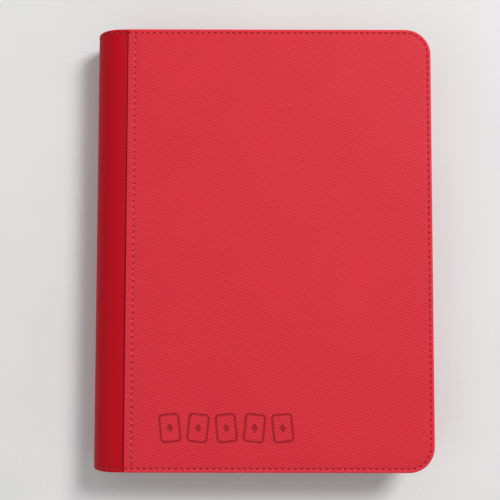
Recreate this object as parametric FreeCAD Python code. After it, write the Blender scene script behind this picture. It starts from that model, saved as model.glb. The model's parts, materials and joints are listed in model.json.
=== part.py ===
import FreeCAD, Part
import math
import os

# Zip-around trading card binder with twenty sewn-in nine-pocket pages.
# Millimetres, +Z up. The closed binder lies on its back cover: the spine is at -X, the fore edge
# at +X and the foot of the pages at -Y. The origin is the middle of the footprint, on the table.

# ---- overall ----
WIDTH = 264.0                # spine's outermost line to fore edge
HEIGHT = 345.0               # foot to head
THICKNESS = 44.0             # outer face to outer face of the covers
CORNER_RADIUS = 20.0         # the covers' fore-edge corners

# ---- layers of a cover, from the outside in ----
LEATHER = 0.9
FOAM = 1.0
BOARD = 1.8
LINING = 0.6
TURN_IN = 12.0               # how far the leather is folded under the board
LAYER_GAP = 0.1              # glue line around pieces that lie inside another

# ---- spine and hinge seam ----
PANEL_SETBACK = 26.0         # spine's outermost line to the edge of a cover's leather panel
SEAM_LAP = 8.0               # how far the spine leather runs on under the panel
STIFFENER = 2.8              # padding strip between the spine's leather and lining
SECTION_DEG = 45.0           # arc of each of the three spine sections, and the turn at each fold
FOLD_GAP = 0.3               # slit between neighbouring sections at a fold
STIFFENER_END = 2.5          # padding stops this far from the spine's ends
LINING_END = 1.5

# ---- stitching ----
STITCH_PITCH = 4.8
STITCH_LENGTH = 3.6
THREAD_RADIUS = 0.3
EDGE_SEAM = 3.0              # edge of the cover to its perimeter seam
HINGE_SEAM = 5.5             # edge of the leather panel to the seam beside the spine
GROOVE_WIDTH = 1.0
GROOVE_DEPTH = 0.62

# ---- zip ----
WALL_INSET = 5.3             # cover edge to the middle of the zip's wall
TAPE = 0.6                   # tape thickness
FLANGE_INSET = 1.5           # cover edge to the edge of the tape's sewn flange
TAPE_EDGE = 2.3              # middle of the chain to the woven edge of each tape
CHAIN_START = 31.0           # spine's outermost line to the chain's ends
FRONT_TAPE_START = 32.0      # spine's outermost line to the ends of the front tape
TOOTH_PITCH = 2.8
TOOTH_WIDTH = 1.1
TOOTH_THICKNESS = 2.4
TOOTH_OVERLAP = 0.9          # how far a tooth reaches past the middle of the chain
TOOTH_ROOT = 3.2             # middle of the chain to the back of a tooth
SLOT_PLAY = 0.05             # tooth clamped on the tape
TAIL_LENGTH = 12.6           # joined tape ends beyond the chain
TAIL_HEIGHT = 8.0            # middle of the chain to the tail's edge
STOP_LENGTH = 3.0
STOP_HEIGHT = 10.0
STOP_THICKNESS = 3.2

# ---- slider and pull ----
SLIDER_LENGTH = 11.0
SLIDER_GAP = 1.0             # chain's end to the parked slider
SLIDER_PLATE = 1.1
SLIDER_PLAY = 0.25           # slider plates to teeth
RAIL = 1.1                   # curled edge of a slider plate
RAIL_PLAY = 0.35             # rails to tape and teeth
WEDGE_LENGTH = 3.2
WEDGE_WIDTH = 3.0
BRIDGE_LENGTH = 6.4
BRIDGE_WIDTH = 1.8
BRIDGE_HEIGHT = 2.2
BRIDGE_BAR = 0.8
PULL_BAR_RADIUS = 0.55
PULL_PLAY = 0.15             # pull bar to the slider plate
PULL_LENGTH = 17.0
PULL_WIDTH = 6.4
PULL_RAIL = 1.3
PULL_WINDOW = 3.9            # bar to the far side of the pull's window
STRAP_LENGTH = 34.0
STRAP_WIDTH = 9.0
STRAP_LAYER = 0.8
STRAP_START = 8.0            # bar to the near end of the leather strap
RIVET_RADIUS = 1.5
RIVET_HEAD_RADIUS = 2.3
RIVET_HEAD = 0.3

# ---- pages and their binding ----
PAGE_COUNT = 20
PAGE = 0.5                   # a page's two films and middle sheet, welded
PAGE_PITCH = 0.6             # page to page in the binding clamp
PAGE_FORE_CLEARANCE = 6.4    # zip wall to the pages' fore edge
PAGE_END_CLEARANCE = 11.6    # zip wall to the pages' head and foot
PAGE_LIFT = 0.7              # lowest page's fore edge above the back lining
PAGE_CORNER = 4.0
MARGIN_FIRST = 1.0           # clamp to the outermost page's bending line
MARGIN_STEP = 0.9            # each page further in bends this much further out
MARGIN_GAP = 0.35            # bending line to the stiff part of the page
OPEN_PITCH = 0.8             # page to page at the fore edge with the binder open flat
POCKET_ROWS = 3
POCKET_COLUMNS = 3
WELD = 1.6
WELD_DEPTH = 0.08
WELD_MARGIN = 2.4            # page edge to the outer weld
CLAMP_BAR = 1.2
CLAMP_DEPTH = 6.5
CLAMP_CLEARANCE = 0.35       # clamp's corners to the curved lining
STRIP_HALF_HEIGHT = 4.6
POST_COUNT = 5
POST_INSET = 15.0            # page end to the first post
POST_RADIUS = 1.6
POST_BORE = 1.0
POST_SCREW_RADIUS = 0.95
POST_HOLE_PLAY = 0.15
POST_HEAD_RADIUS = 2.6
POST_HEAD = 0.8

# ---- worked out from the values above ----
X_SPINE = -WIDTH / 2
X_FORE = WIDTH / 2
HALF_Y = HEIGHT / 2
Z_MID = THICKNESS / 2
PANEL_X = X_SPINE + PANEL_SETBACK
SPINE_RADIUS = Z_MID - LEATHER
ARC_X = X_SPINE + SPINE_RADIUS
SPINE_INNER = SPINE_RADIUS - LEATHER - STIFFENER - LINING
COVER_INNER = LEATHER + FOAM + BOARD + LEATHER + LINING    # outer face to lining face
LINING_OUT = COVER_INNER - LINING
FOLD_HALF_DEG = math.degrees(FOLD_GAP / 2 / SPINE_RADIUS)
WALL_OUT = WALL_INSET - TAPE / 2
WALL_IN = WALL_INSET + TAPE / 2
WALL_Y = HALF_Y - WALL_INSET
CHAIN_X = X_SPINE + CHAIN_START
TAIL_X = CHAIN_X - TAIL_LENGTH
SLIDER_X = CHAIN_X - SLIDER_GAP - SLIDER_LENGTH / 2
SLIDER_FACE = TOOTH_THICKNESS / 2 + SLIDER_PLAY + SLIDER_PLATE
PULL_AXIS = SLIDER_FACE + PULL_PLAY + PULL_BAR_RADIUS       # chain's middle plane to the pull's bar
STACK_HALF = PAGE_COUNT * PAGE_PITCH / 2
CLAMP_HALF = STACK_HALF + CLAMP_BAR
CLAMP_X = ARC_X - math.sqrt(SPINE_INNER ** 2 - (CLAMP_HALF + POST_HEAD) ** 2) + CLAMP_CLEARANCE
CLAMP_END = CLAMP_X + CLAMP_DEPTH
POST_X = (CLAMP_X + CLAMP_END) / 2
PAGE_FORE_X = X_FORE - WALL_IN - PAGE_FORE_CLEARANCE
PAGE_HALF_Y = HALF_Y - WALL_IN - PAGE_END_CLEARANCE


def vec(x, y, z):
    return FreeCAD.Vector(x, y, z)


def box(x0, x1, y0, y1, z0, z1):
    return Part.makeBox(x1 - x0, y1 - y0, z1 - z0, vec(x0, y0, z0))


def mirrored(shape):
    """The same piece on the back cover: turned over about the middle of the thickness."""
    return shape.mirror(vec(0, 0, Z_MID), vec(0, 0, 1))


def plate(x0, x1, half_y, radius, z0, z1):
    """A plate whose two corners at x1 are rounded."""
    mid = radius * math.sqrt(0.5)
    cx, cy = x1 - radius, half_y - radius
    edges = [
        Part.LineSegment(vec(x0, -half_y, z0), vec(cx, -half_y, z0)),
        Part.Arc(vec(cx, -half_y, z0), vec(cx + mid, -cy - mid, z0), vec(x1, -cy, z0)),
        Part.LineSegment(vec(x1, -cy, z0), vec(x1, cy, z0)),
        Part.Arc(vec(x1, cy, z0), vec(cx + mid, cy + mid, z0), vec(cx, half_y, z0)),
        Part.LineSegment(vec(cx, half_y, z0), vec(x0, half_y, z0)),
        Part.LineSegment(vec(x0, half_y, z0), vec(x0, -half_y, z0)),
    ]
    wire = Part.Wire([edge.toShape() for edge in edges])
    return Part.Face(wire).extrude(vec(0, 0, z1 - z0))


def inset_plate(x0, inset, z0, z1):
    """A plate that keeps the same distance from the covers' three free edges."""
    return plate(x0, X_FORE - inset, HALF_Y - inset, CORNER_RADIUS - inset, z0, z1)


def ring(x0, inset_out, inset_in, z0, z1):
    """A band that follows the covers' three free edges and is open towards the spine."""
    inner = inset_plate(x0 - 1, inset_in, z0 - 1, z1 + 1)
    return inset_plate(x0, inset_out, z0, z1).cut(inner)


def arc_point(radius, degrees, y):
    """A point on the spine's round: 0 degrees is its outermost line, 90 degrees its top."""
    turn = math.radians(degrees)
    return vec(ARC_X - radius * math.cos(turn), y, Z_MID + radius * math.sin(turn))


def arc_shell(r_out, r_in, start, end, half_y):
    """A stretch of the spine's round shell between two angles."""
    middle = (start + end) / 2
    edges = [
        Part.Arc(*[arc_point(r_out, a, -half_y) for a in (start, middle, end)]),
        Part.LineSegment(arc_point(r_out, end, -half_y), arc_point(r_in, end, -half_y)),
        Part.Arc(*[arc_point(r_in, a, -half_y) for a in (end, middle, start)]),
        Part.LineSegment(arc_point(r_in, start, -half_y), arc_point(r_out, start, -half_y)),
    ]
    wire = Part.Wire([edge.toShape() for edge in edges])
    return Part.Face(wire).extrude(vec(0, 2 * half_y, 0))


def fold_points():
    """The four fold lines of the spine, (x, z), from the back cover round to the front."""
    angles = [(i - 1.5) * SECTION_DEG for i in range(4)]
    points = [arc_point(SPINE_RADIUS, angle, 0) for angle in angles]
    return [(point.x, point.z) for point in points]


# ---- the path of a seam or of the zip's chain round the three free edges ----

def edge_path_length(x0, inset):
    radius = CORNER_RADIUS - inset
    leg = X_FORE - CORNER_RADIUS - x0
    return 2 * leg + math.pi * radius + HEIGHT - 2 * CORNER_RADIUS


def edge_path(x0, inset, s):
    """(x, y, heading in degrees) at distance s along the path, which starts at the foot."""
    radius = CORNER_RADIUS - inset
    leg = X_FORE - CORNER_RADIUS - x0
    bend = math.pi * radius / 2
    side = HEIGHT - 2 * CORNER_RADIUS
    cx, cy = X_FORE - CORNER_RADIUS, HALF_Y - CORNER_RADIUS
    if s < leg:
        return x0 + s, -(HALF_Y - inset), 0.0
    s -= leg
    if s < bend:
        turn = s / radius
        return cx + radius * math.sin(turn), -cy - radius * math.cos(turn), math.degrees(turn)
    s -= bend
    if s < side:
        return X_FORE - inset, -cy + s, 90.0
    s -= side
    if s < bend:
        turn = s / radius
        return cx + radius * math.cos(turn), cy + radius * math.sin(turn), 90 + math.degrees(turn)
    return cx - (s - bend), HALF_Y - inset, 180.0


def placed(shape, x, y, z, heading):
    copy = shape.copy()
    turn = FreeCAD.Rotation(vec(0, 0, 1), heading)
    copy.Placement = FreeCAD.Placement(vec(x, y, z), turn)
    return copy


# ---- covers ----

def panel_leather():
    """Front cover's leather: folded round the board on three edges, with sunk seam lines."""
    bottom = THICKNESS - LINING_OUT
    inside = THICKNESS - LEATHER
    leather = inset_plate(PANEL_X, 0, bottom, THICKNESS)
    leather = leather.cut(inset_plate(PANEL_X - 1, LEATHER, bottom + LEATHER, inside))
    leather = leather.cut(inset_plate(PANEL_X - 1, TURN_IN, bottom - 1, bottom + LEATHER + 1))
    half = GROOVE_WIDTH / 2
    floor = THICKNESS - GROOVE_DEPTH
    leather = leather.cut(ring(PANEL_X, EDGE_SEAM - half, EDGE_SEAM + half, floor, THICKNESS + 1))
    x = PANEL_X + HINGE_SEAM
    y = HALF_Y - EDGE_SEAM - STITCH_PITCH / 2
    return leather.cut(box(x - half, x + half, -y, y, floor, THICKNESS + 1))


def cover_foam():
    top = THICKNESS - LEATHER
    x0 = PANEL_X + SEAM_LAP + LAYER_GAP
    return inset_plate(x0, LEATHER + LAYER_GAP, top - FOAM, top)


def cover_board():
    top = THICKNESS - LEATHER - FOAM
    return inset_plate(PANEL_X + 1, LEATHER + LAYER_GAP, top - BOARD, top)


def cover_inner_card():
    """Thin card that fills the space inside the turned-in leather."""
    top = THICKNESS - LEATHER - FOAM - BOARD
    return inset_plate(PANEL_X + 1, TURN_IN + LAYER_GAP, top - LEATHER, top)


def cover_lining():
    top = THICKNESS - LINING_OUT
    return inset_plate(ARC_X, WALL_IN + LAYER_GAP, top - LINING, top)


def hinge_leather():
    """The spine leather's tail on the front cover: a short arc, then a lap under the panel."""
    arc_start = 1.5 * SECTION_DEG + FOLD_HALF_DEG
    arc = arc_shell(SPINE_RADIUS, SPINE_RADIUS - LEATHER, arc_start, 90, HALF_Y)
    top = THICKNESS - LEATHER
    shown = box(ARC_X, PANEL_X, -HALF_Y, HALF_Y, top - LEATHER, top)
    inside = HALF_Y - LEATHER - LAYER_GAP
    lap = box(PANEL_X, PANEL_X + SEAM_LAP, -inside, inside, top - LEATHER, top)
    return arc.fuse([shown, lap]).removeSplitter()


def stitch():
    """One stitch lying along X: a capsule."""
    half = STITCH_LENGTH / 2 - THREAD_RADIUS
    r = THREAD_RADIUS
    edges = [
        Part.Arc(vec(-half - r, 0, 0), vec(-half - r * math.sqrt(0.5), 0, r * math.sqrt(0.5)),
                 vec(-half, 0, r)),
        Part.LineSegment(vec(-half, 0, r), vec(half, 0, r)),
        Part.Arc(vec(half, 0, r), vec(half + r * math.sqrt(0.5), 0, r * math.sqrt(0.5)),
                 vec(half + r, 0, 0)),
        Part.LineSegment(vec(half + r, 0, 0), vec(-half - r, 0, 0)),
    ]
    wire = Part.Wire([edge.toShape() for edge in edges])
    return Part.Face(wire).revolve(vec(0, 0, 0), vec(1, 0, 0), 360)


def cover_stitching():
    """Perimeter seam and the seam beside the spine, as single stitches in their grooves."""
    one = stitch()
    z = THICKNESS - GROOVE_DEPTH + THREAD_RADIUS + 0.01
    length = edge_path_length(PANEL_X, EDGE_SEAM)
    count = int(length / STITCH_PITCH)
    spare = (length - count * STITCH_PITCH) / 2
    stitches = []
    for i in range(count):
        x, y, heading = edge_path(PANEL_X, EDGE_SEAM, spare + (i + 0.5) * STITCH_PITCH)
        stitches.append(placed(one, x, y, z, heading))
    run = HEIGHT - 2 * EDGE_SEAM - STITCH_PITCH
    count = int(run / STITCH_PITCH)
    for i in range(count):
        y = (i - (count - 1) / 2) * STITCH_PITCH
        stitches.append(placed(one, PANEL_X + HINGE_SEAM, y, z, 90))
    return Part.makeCompound(stitches)


# ---- zip ----

def front_tape():
    x0 = X_SPINE + FRONT_TAPE_START
    top = THICKNESS - LINING_OUT
    wall = ring(x0, WALL_OUT, WALL_IN, Z_MID + TAPE_EDGE, top)
    flange = ring(x0, FLANGE_INSET, WALL_IN, top - LINING, top)
    return wall.fuse(flange).removeSplitter()


def back_tape():
    """The back half runs on to the hinge, notched where an end stop is crimped over it."""
    x0 = ARC_X + LAYER_GAP
    wall = ring(x0, WALL_OUT, WALL_IN, LINING_OUT, Z_MID - TAPE_EDGE)
    flange = ring(x0, FLANGE_INSET, WALL_IN, LINING_OUT, LINING_OUT + LINING)
    tails = []
    for side in (-1, 1):
        y = side * WALL_Y
        tails.append(box(TAIL_X, x0 + 1, y - TAPE / 2, y + TAPE / 2,
                         Z_MID - TAIL_HEIGHT, Z_MID - TAPE_EDGE))
    return wall.fuse([flange] + tails).removeSplitter().cut(end_stops())


def tail_tapes():
    """Ends of the front tape that stay joined to the back one."""
    tails = []
    for side in (-1, 1):
        y = side * WALL_Y
        tails.append(box(TAIL_X, CHAIN_X - LAYER_GAP, y - TAPE / 2, y + TAPE / 2,
                         Z_MID + TAPE_EDGE, Z_MID + TAIL_HEIGHT))
    return Part.makeCompound(tails)


def tooth():
    """An upper tooth at the middle of the chain, clamped over the tape, heading along X."""
    half = TOOTH_THICKNESS / 2
    slot = TAPE / 2 + SLOT_PLAY
    slot_z = TAPE_EDGE - SLOT_PLAY
    outline = [(-half, -TOOTH_OVERLAP), (half, -TOOTH_OVERLAP), (half, TOOTH_ROOT),
               (slot, TOOTH_ROOT), (slot, slot_z), (-slot, slot_z),
               (-slot, TOOTH_ROOT), (-half, TOOTH_ROOT)]
    points = [vec(-TOOTH_WIDTH / 2, y, z) for y, z in outline]
    return Part.Face(Part.makePolygon(points + points[:1])).extrude(vec(TOOTH_WIDTH, 0, 0))


def chain_half(one, x0, phase):
    """A row of teeth round the three free edges; phase is in pitches."""
    count = int(edge_path_length(x0, WALL_INSET) / TOOTH_PITCH)
    teeth = []
    for i in range(count):
        s = (i + phase) * TOOTH_PITCH
        x, y, heading = edge_path(x0, WALL_INSET, s)
        teeth.append(placed(one, x, y, Z_MID, heading))
    return teeth


def tail_teeth(upper, lower):
    """The few teeth on the joined tape ends at the head."""
    count = int((TAIL_LENGTH - STOP_LENGTH / 2) / TOOTH_PITCH)
    teeth = []
    for i in range(count):
        x = CHAIN_X - i * TOOTH_PITCH
        teeth.append(placed(upper, x - 0.75 * TOOTH_PITCH, WALL_Y, Z_MID, 180))
        if i:
            teeth.append(placed(lower, x - 0.25 * TOOTH_PITCH, WALL_Y, Z_MID, 180))
    return teeth


def end_stops():
    stops = []
    for side in (-1, 1):
        y = side * WALL_Y
        stops.append(box(TAIL_X - STOP_LENGTH, TAIL_X, y - STOP_THICKNESS / 2,
                         y + STOP_THICKNESS / 2, Z_MID - STOP_HEIGHT / 2,
                         Z_MID + STOP_HEIGHT / 2))
    return Part.makeCompound(stops)


def at_slider(shape):
    """Moves a piece made at the origin, with -Y outwards, to the parked slider."""
    shape.translate(vec(SLIDER_X, -WALL_Y, Z_MID))
    return shape


def slider_body():
    half_x = SLIDER_LENGTH / 2
    inner = SLIDER_FACE - SLIDER_PLATE
    rail_in = TOOTH_ROOT + RAIL_PLAY
    rail_out = rail_in + RAIL
    slot = TAPE / 2 + RAIL_PLAY
    pieces = []
    for side in (-1, 1):
        faces = sorted((side * inner, side * SLIDER_FACE))
        outer = box(-half_x, half_x, faces[0], faces[1], -rail_out, rail_out)
        corners = [edge for edge in outer.Edges
                   if abs(edge.Vertexes[0].X - edge.Vertexes[-1].X) < 1e-6
                   and abs(edge.Vertexes[0].Z - edge.Vertexes[-1].Z) < 1e-6]
        pieces.append(outer.makeFillet(RAIL, corners))
        rail = sorted((side * slot, side * inner))
        for up in (-1, 1):
            band = sorted((up * rail_in, up * rail_out))
            pieces.append(box(-half_x + RAIL, half_x - RAIL, rail[0], rail[1], band[0], band[1]))
    wedge = [(-half_x + 0.6, 0), (-half_x + WEDGE_LENGTH / 2, WEDGE_WIDTH / 2),
             (-half_x + WEDGE_LENGTH + 1, 0), (-half_x + WEDGE_LENGTH / 2, -WEDGE_WIDTH / 2)]
    points = [vec(x, -inner, z) for x, z in wedge]
    pieces.append(Part.Face(Part.makePolygon(points + points[:1])).extrude(vec(0, 2 * inner, 0)))
    bridge = box(-BRIDGE_LENGTH / 2, BRIDGE_LENGTH / 2, -SLIDER_FACE - BRIDGE_HEIGHT,
                 -SLIDER_FACE, -BRIDGE_WIDTH / 2, BRIDGE_WIDTH / 2)
    leg = BRIDGE_LENGTH / 2 - BRIDGE_BAR
    bridge = bridge.cut(box(-leg, leg, -SLIDER_FACE - BRIDGE_HEIGHT + BRIDGE_BAR,
                            -SLIDER_FACE, -BRIDGE_WIDTH, BRIDGE_WIDTH))
    whole = pieces[0].fuse(pieces[1:] + [bridge])
    return at_slider(whole.removeSplitter())


def pull_tab():
    """Metal pull: a bar under the slider's bridge, two rails beside it, then a flat tongue."""
    y = -PULL_AXIS
    r = PULL_BAR_RADIUS
    half = PULL_WIDTH / 2
    bar = Part.makeCylinder(r, PULL_WIDTH, vec(0, y, -half), vec(0, 0, 1))
    tongue = box(PULL_WINDOW, PULL_LENGTH, y - r, y + r, -half, half)
    rails = [box(0, PULL_WINDOW, y - r, y + r, *sorted((up * (half - PULL_RAIL), up * half)))
             for up in (-1, 1)]
    whole = bar.fuse(rails + [tongue]).removeSplitter()
    x = (STRAP_START + PULL_LENGTH) / 2
    hole = Part.makeCylinder(RIVET_RADIUS, 4 * r, vec(x, y - 2 * r, 0), vec(0, 1, 0))
    return at_slider(whole.cut(hole))


def pull_strap():
    """Leather strap folded over the pull's tongue."""
    y = -PULL_AXIS
    r = PULL_BAR_RADIUS
    deep = r + STRAP_LAYER
    end = STRAP_START + STRAP_LENGTH
    half = STRAP_WIDTH / 2
    strap = box(STRAP_START, end, y - deep, y + deep, -half, half)
    corners = [edge for edge in strap.Edges
               if abs(edge.Vertexes[0].X - end) < 1e-6 and abs(edge.Vertexes[-1].X - end) < 1e-6
               and abs(edge.Vertexes[0].Z - edge.Vertexes[-1].Z) < 1e-6]
    strap = strap.makeFillet(half * 0.7, corners)
    pocket = box(STRAP_START - 1, PULL_LENGTH + LAYER_GAP, y - r, y + r,
                 -PULL_WIDTH / 2 - LAYER_GAP, PULL_WIDTH / 2 + LAYER_GAP)
    x = (STRAP_START + PULL_LENGTH) / 2
    hole = Part.makeCylinder(RIVET_RADIUS, 4 * deep, vec(x, y - 2 * deep, 0), vec(0, 1, 0))
    return at_slider(strap.cut(pocket).cut(hole))


def pull_rivet():
    x = (STRAP_START + PULL_LENGTH) / 2
    deep = PULL_BAR_RADIUS + STRAP_LAYER
    shank = Part.makeCylinder(RIVET_RADIUS - SLOT_PLAY, 2 * deep,
                              vec(x, -PULL_AXIS - deep, 0), vec(0, 1, 0))
    heads = [Part.makeCylinder(RIVET_HEAD_RADIUS, RIVET_HEAD, vec(x, y, 0), vec(0, 1, 0))
             for y in (-PULL_AXIS - deep - RIVET_HEAD, -PULL_AXIS + deep)]
    return at_slider(shank.fuse(heads).removeSplitter())


# ---- spine ----

def spine_sections():
    """Leather, padding and lining of the three spine sections."""
    made = {}
    for i, name in enumerate(("lower", "middle", "upper")):
        start = (i - 1.5) * SECTION_DEG + FOLD_HALF_DEG
        end = (i - 0.5) * SECTION_DEG - FOLD_HALF_DEG
        r1 = SPINE_RADIUS - LEATHER
        r2 = r1 - STIFFENER
        made["spine_leather_" + name] = arc_shell(SPINE_RADIUS, r1, start, end, HALF_Y)
        made["spine_padding_" + name] = arc_shell(r1, r2, start, end, HALF_Y - STIFFENER_END)
        made["spine_lining_" + name] = arc_shell(r2, r2 - LINING, start, end, HALF_Y - LINING_END)
    return made


# ---- binding ----

def post_places():
    reach = PAGE_HALF_Y - POST_INSET
    return [(2 * i / (POST_COUNT - 1) - 1) * reach for i in range(POST_COUNT)]


def post_holes():
    radius = POST_RADIUS + POST_HOLE_PLAY
    height = 2 * (CLAMP_HALF + POST_HEAD)
    return [Part.makeCylinder(radius, height, vec(POST_X, y, Z_MID - height / 2))
            for y in post_places()]


def binding_strip():
    """Folded strip that joins the clamp to the middle of the spine's lining."""
    strip = box(ARC_X - SPINE_INNER - 1, CLAMP_X, -PAGE_HALF_Y, PAGE_HALF_Y,
                Z_MID - STRIP_HALF_HEIGHT, Z_MID + STRIP_HALF_HEIGHT)
    round_lining = Part.makeCylinder(SPINE_INNER, HEIGHT, vec(ARC_X, -HALF_Y, Z_MID), vec(0, 1, 0))
    return strip.common(round_lining)


def clamp_bar():
    bar = box(CLAMP_X, CLAMP_END, -PAGE_HALF_Y, PAGE_HALF_Y,
              Z_MID + STACK_HALF, Z_MID + CLAMP_HALF)
    return bar.cut(Part.makeCompound(post_holes()))


def post_barrels():
    bottom = Z_MID - CLAMP_HALF
    barrels = []
    for y in post_places():
        tube = Part.makeCylinder(POST_RADIUS, 2 * CLAMP_HALF, vec(POST_X, y, bottom))
        head = Part.makeCylinder(POST_HEAD_RADIUS, POST_HEAD, vec(POST_X, y, bottom - POST_HEAD))
        bore = Part.makeCylinder(POST_BORE, 2 * CLAMP_HALF, vec(POST_X, y, bottom))
        barrels.append(tube.fuse(head).cut(bore).removeSplitter())
    return Part.makeCompound(barrels)


def post_screws():
    top = Z_MID + CLAMP_HALF
    screws = []
    for y in post_places():
        shank = Part.makeCylinder(POST_SCREW_RADIUS, CLAMP_HALF, vec(POST_X, y, top - CLAMP_HALF))
        head = Part.makeCylinder(POST_HEAD_RADIUS, POST_HEAD, vec(POST_X, y, top))
        slot = box(POST_X - POST_HEAD_RADIUS, POST_X + POST_HEAD_RADIUS, y - 0.3, y + 0.3,
                   top + POST_HEAD / 2, top + POST_HEAD)
        screws.append(shank.fuse(head).cut(slot).removeSplitter())
    return Part.makeCompound(screws)


# ---- pages ----

def page_pivot(k):
    """(x, z) of page k's bending line with the binder closed; page 0 is the lowest."""
    rank = min(k, PAGE_COUNT - 1 - k)
    x = CLAMP_END + MARGIN_FIRST + rank * MARGIN_STEP
    return x, Z_MID + (k - (PAGE_COUNT - 1) / 2) * PAGE_PITCH


def page_rest_deg(k):
    """How far page k slopes up from level when the binder is closed."""
    x, z = page_pivot(0)
    fall = z - (COVER_INNER + PAGE_LIFT)
    steepest = math.degrees(math.atan2(fall, PAGE_FORE_X - x))
    return steepest * (2 * k / (PAGE_COUNT - 1) - 1)


def page_open_deg(k):
    """Page k's slope when the binder lies open flat, as an angle from +X towards +Z."""
    rank = min(k, PAGE_COUNT - 1 - k)
    spine_bottom = LEATHER
    height = page_pivot(k)[0] - X_SPINE + spine_bottom
    reach = PAGE_FORE_X - page_pivot(k)[0]
    landing = COVER_INNER + PAGE_LIFT + rank * OPEN_PITCH
    slope = math.degrees(math.atan2(height - landing, reach))
    return -slope if k < PAGE_COUNT / 2 else 180 + slope


def page_turn_deg(k):
    """How far page k turns against the spine's middle section while the binder opens."""
    return page_open_deg(k) - page_rest_deg(k) - 2 * SECTION_DEG


def page_margins():
    """The soft margins between the clamp and each page's bending line."""
    holes = Part.makeCompound(post_holes())
    strips = []
    for k in range(PAGE_COUNT):
        x, z = page_pivot(k)
        strip = box(CLAMP_X, x, -PAGE_HALF_Y, PAGE_HALF_Y, z - PAGE / 2, z + PAGE / 2)
        strips.append(strip.cut(holes))
    return Part.makeCompound(strips)


def welds(length):
    """Weld lines of the pocket grid on both faces, for a page that ends at x = length."""
    reach = PAGE_FORE_X - page_pivot(PAGE_COUNT // 2)[0]
    x0 = length - reach + MARGIN_GAP + WELD_MARGIN
    x1 = length - WELD_MARGIN
    half_y = PAGE_HALF_Y - WELD_MARGIN
    lines = []
    for face in (-1, 1):
        z = sorted((face * (PAGE / 2 - WELD_DEPTH), face * PAGE))
        for i in range(POCKET_COLUMNS + 1):
            x = x0 + (x1 - x0 - WELD) * i / POCKET_COLUMNS
            lines.append(box(x, x + WELD, -half_y, half_y, z[0], z[1]))
        for i in range(POCKET_ROWS + 1):
            y = -half_y + (2 * half_y - WELD) * i / POCKET_ROWS
            lines.append(box(x0, x1, y, y + WELD, z[0], z[1]))
    return lines[0].fuse(lines[1:])


def page(k):
    x, z = page_pivot(k)
    rest = page_rest_deg(k)
    length = (PAGE_FORE_X - x) / math.cos(math.radians(rest))
    leaf = plate(MARGIN_GAP, length, PAGE_HALF_Y, PAGE_CORNER, -PAGE / 2, PAGE / 2)
    leaf = leaf.cut(welds(length))
    turn = FreeCAD.Rotation(vec(0, -1, 0), rest)
    leaf.Placement = FreeCAD.Placement(vec(x, 0, z), turn)
    return leaf


def build():
    upper, lower = tooth(), tooth().mirror(vec(0, 0, 0), vec(0, 0, 1))
    leather, foam, board = panel_leather(), cover_foam(), cover_board()
    card, lining, hinge = cover_inner_card(), cover_lining(), hinge_leather()
    stitching, bar = cover_stitching(), clamp_bar()
    nodes = {
        "front_cover_leather": leather, "back_cover_leather": mirrored(leather),
        "front_cover_foam": foam, "back_cover_foam": mirrored(foam),
        "front_cover_board": board, "back_cover_board": mirrored(board),
        "front_inner_card": card, "back_inner_card": mirrored(card),
        "front_lining": lining, "back_lining": mirrored(lining),
        "front_hinge_leather": hinge, "back_hinge_leather": mirrored(hinge),
        "front_stitching": stitching, "back_stitching": mirrored(stitching),
        "front_zip_tape": front_tape(), "back_zip_tape": back_tape(),
        "front_zip_teeth": Part.makeCompound(chain_half(upper, CHAIN_X, 0.75)),
        "back_zip_teeth": Part.makeCompound(chain_half(lower, CHAIN_X, 0.25)),
        "zip_tail_tapes": tail_tapes(),
        "zip_tail_teeth": Part.makeCompound(tail_teeth(upper, lower)),
        "zip_end_stops": end_stops(),
        "zip_slider": slider_body(), "pull_tab": pull_tab(),
        "pull_strap": pull_strap(), "pull_rivet": pull_rivet(),
        "binding_strip": binding_strip(),
        "binding_clamp_upper": bar, "binding_clamp_lower": mirrored(bar),
        "binding_post_barrels": post_barrels(), "binding_post_screws": post_screws(),
        "page_margins": page_margins(),
    }
    nodes.update(spine_sections())
    for k in range(PAGE_COUNT):
        nodes["page_%02d" % (k + 1)] = page(k)
    return nodes


def main():
    os.makedirs("parts", exist_ok=True)
    nodes = build()
    for name, shape in nodes.items():
        if not shape.isValid():
            print("invalid:", name)
        shape.exportStep("parts/%s.step" % name)
    print(len(nodes), "nodes")


if __name__ == "__main__":
    main()
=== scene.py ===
"""Looks of a zip-around trading card binder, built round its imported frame.

Lengths are in millimetres until a mesh is made, which turns them into metres. The closed binder lies
on its back cover with the spine at -X, the fore edge at +X and the foot of the pages at -Y.
"""

import json
import logging
import math
from dataclasses import dataclass, field
from enum import Enum
from typing import Iterable, Sequence

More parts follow.
